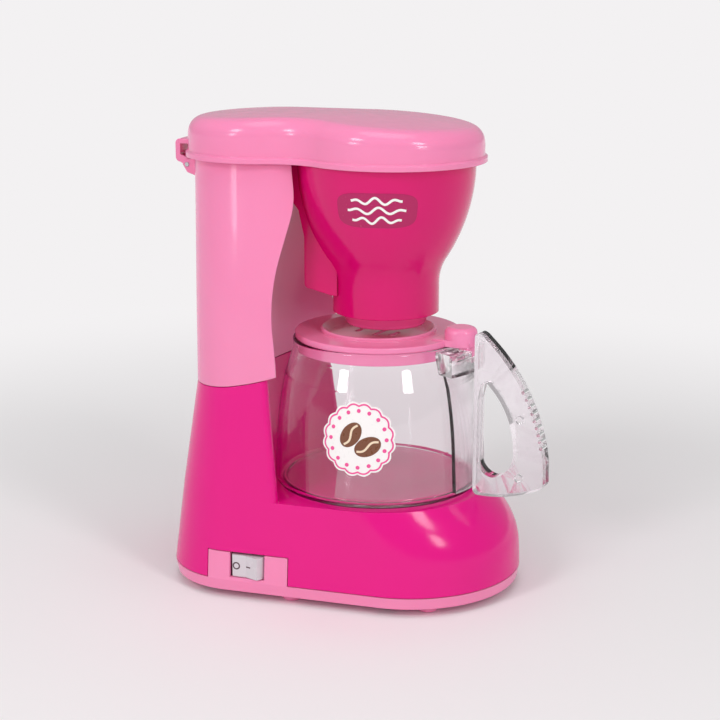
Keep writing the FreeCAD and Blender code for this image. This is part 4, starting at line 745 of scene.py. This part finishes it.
# The switch marks: a flat ring and a bar pushed along +X until they meet the rocker.
def makeMarks():
    low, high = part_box("switch_rocker")
    middle = (low + high) / 2

    def onRocker(points, along):
        starts = np.column_stack([
            np.full(len(points), low.x - marks["rayFrom"] * mm),
            middle.y - (along + points[:, 0]) * mm,
            middle.z + points[:, 1] * mm,
        ])
        inward = np.array([1.0, 0.0, 0.0])
        return skinHits("switch_rocker", starts, inward) - inward * marks["lift"] * mm

    points, faces = band(circle(marks["ringRadius"], 40), marks["lineWidth"], True)
    addPiece("rockerRing", onRocker(points, marks["ringAlong"]), faces, plumInk, "rocker")
    reach = np.linspace(-marks["barHalf"], marks["barHalf"], 9)
    points, faces = band(np.stack([reach, np.zeros(9)], axis=1), marks["lineWidth"])
    addPiece("rockerBar", onRocker(points, marks["barAlong"]), faces, plumInk, "rocker")
    print("switch marks printed")


ridges = {
    "low": 62.5,
    "high": 83.0,
    "count": 9,
    "radius": 0.75,
    "halfLength": 2.5,
    "sunk": 0.25,
    "rayFrom": 100.0,
    "rayAside": 1.0,  # into the far half of the handle, beside the joint of the two
}


# A grip ridge: a bar across the handle. Its radius is full along it and falls to nothing at
# both ends as the root of one minus the eighth power of the way from its middle. Its faces
# point into the bar: a minus before the sine would turn them out, and darken the ridges.
def makeRidges():
    turn = math.radians(jug["handleAngle"])
    away = np.array([math.cos(turn), math.sin(turn), 0.0])
    across = np.array([-math.sin(turn), math.cos(turn), 0.0])
    upward = np.array([0.0, 0.0, 1.0])
    axis = np.array([*jug["axis"], 0.0]) * mm
    share = np.linspace(-0.999, 0.999, 15)
    radius = ridges["radius"] * mm * np.sqrt(1 - share ** 8)
    around = np.linspace(0.0, fullTurn, 14, endpoint=False)[:, None]
    ring = np.cos(around) * away + np.sin(around) * upward
    spine = share[:, None, None] * across * ridges["halfLength"] * mm
    bar = (spine + radius[:, None, None] * ring).reshape(-1, 3)
    faces = gridFaces(len(share), len(around), True)
    faces.append(tuple(range(len(around)))[::-1])
    faces.append(tuple(range(len(bar) - len(around), len(bar))))
    levels = np.linspace(ridges["low"], ridges["high"], ridges["count"])[:, None] * mm * upward
    start = axis + (away * ridges["rayFrom"] + across * ridges["rayAside"]) * mm
    hits = skinHits("handle_half_far", start + levels, -away)
    out = (hits - axis) @ away - ridges["sunk"] * mm
    middles = axis + levels + out[:, None] * away
    points, faces = gathered([(middle + bar, faces) for middle in middles])
    piece = addPiece("gripRidges", points, faces, materialOf["clearPolystyrene"], "jug")
    print("grip ridges made")


makeLidCover()
makeFootRing()
makeBadge()
makeBeans()
makeDots()
makeLabel()
makeMarks()
makeRidges()

camera = {
    "target": (-2.1, 1.78, 87.4),
    "azimuth": 197.2,  # from the target to the camera, anticlockwise from +X
    "elevation": 14.28,
    "distance": 643.6,
    "lens": 82.92,
    "sensorWidth": 36.0,
}


# A place at a distance from the camera's target, and the turn that looks back at the target.
def aimFrom(turnDegrees, heightDegrees, distance):
    turn, height = math.radians(turnDegrees), math.radians(heightDegrees)
    back = Vector((
        math.cos(turn) * math.cos(height),
        math.sin(turn) * math.cos(height),
        math.sin(height),
    ))
    target = Vector(camera["target"]) * mm
    return target + back * distance * mm, (-back).to_track_quat("-Z", "Y")


# Puts a camera or lamp into the scene, aimed at the target.
def addAimed(name, data, turnDegrees, heightDegrees, distance):
    item = bpy.data.objects.new(name, data)
    item.location, turn = aimFrom(turnDegrees, heightDegrees, distance)
    item.rotation_mode = "QUATERNION"
    item.rotation_quaternion = turn
    bpy.context.scene.collection.objects.link(item)
    return item


def makeCamera():
    data = bpy.data.cameras.new("photoCamera")
    data.lens = camera["lens"]
    data.sensor_width = camera["sensorWidth"]
    bpy.context.scene.camera = addAimed(
        "photoCamera", data, camera["azimuth"], camera["elevation"], camera["distance"],
    )


# Each lamp: turn from the camera's direction, height angle, distance, width and watts.
lamps = {
    "softboxLeft": (-46.0, 38.0, 1200.0, 300.0, 2.6),
    "softboxRight": (38.0, 36.0, 1200.0, 280.0, 2.0),
    "overhead": (0.0, 84.0, 1300.0, 900.0, 4.2),
    "lowLeft": (-46.0, 18.0, 1200.0, 240.0, 1.6),
    "lowRight": (37.0, 18.0, 1200.0, 240.0, 1.5),
}


def makeLamps():
    for name, (turn, height, distance, width, watts) in lamps.items():
        data = bpy.data.lights.new(name, "AREA")
        data.shape = "DISK"
        data.size = width * mm
        data.energy = watts
        addAimed(name, data, camera["azimuth"] + turn, height, distance)


paper = {
    "halfWidth": 15000.0,
    "colour": "#F3F1F2",
    "roughness": 0.7,
    "glowStarts": 130.0,
    "glowFull": 500.0,
}


# The floor: matt paper near the object, where it takes the shadow. Farther off it fades, by
# distance from the object, into an even glow that only shows and lights nothing.
def makeFloor():
    half = paper["halfWidth"] * mm
    corners = [(-half, -half, 0.0), (half, -half, 0.0), (half, half, 0.0), (-half, half, 0.0)]
    mesh = bpy.data.meshes.new("floor")
    mesh.from_pydata(corners, [], [(0, 1, 2, 3)])
    material, tree, surface, place = startMaterial("matPaper")
    colour = linear(paper["colour"])
    feed(tree, surface, {"Base Color": colour, "Roughness": paper["roughness"]})
    glow = addNode(tree, "ShaderNodeEmission", {"Color": colour, "Strength": 1.0})
    distance = addNode(tree, "ShaderNodeVectorMath", {"Vector": place}, operation="LENGTH")
    far = addNode(tree, "ShaderNodeMapRange", {
        "Value": distance.outputs["Value"],
        "From Min": paper["glowStarts"] * mm,
        "From Max": paper["glowFull"] * mm,
    }, interpolation_type="SMOOTHSTEP").outputs["Result"]
    seen = rayShare(tree, "Is Camera Ray", "Is Glossy Ray", "Is Transmission Ray")
    share = addNode(tree, "ShaderNodeMath", {0: far, 1: seen}, operation="MULTIPLY")
    showInstead(tree, surface, glow, share.outputs["Value"])
    mesh.materials.append(material)
    floor = bpy.data.objects.new("floor", mesh)
    bpy.context.scene.collection.objects.link(floor)


air = {"colour": "#FFFFFF", "strength": 0.44}


# The world: one even soft light. The jug, saddle, handle and ridges put many clear walls
# one behind another, so light is let through more of them than Blender's usual twelve.
def makeWorld():
    scene = bpy.context.scene
    world = bpy.data.worlds.new("studioAir")
    world.use_nodes = True
    tree = world.node_tree
    tree.nodes.clear()
    light = addNode(tree, "ShaderNodeBackground", {
        "Color": linear(air["colour"]),
        "Strength": air["strength"],
    })
    addNode(tree, "ShaderNodeOutputWorld", {"Surface": light.outputs["Background"]})
    scene.world = world
    scene.view_settings.view_transform = "Standard"
    scene.cycles.max_bounces = 32
    scene.cycles.transmission_bounces = 32


makeCamera()
makeLamps()
makeFloor()
makeWorld()
print("studio made")
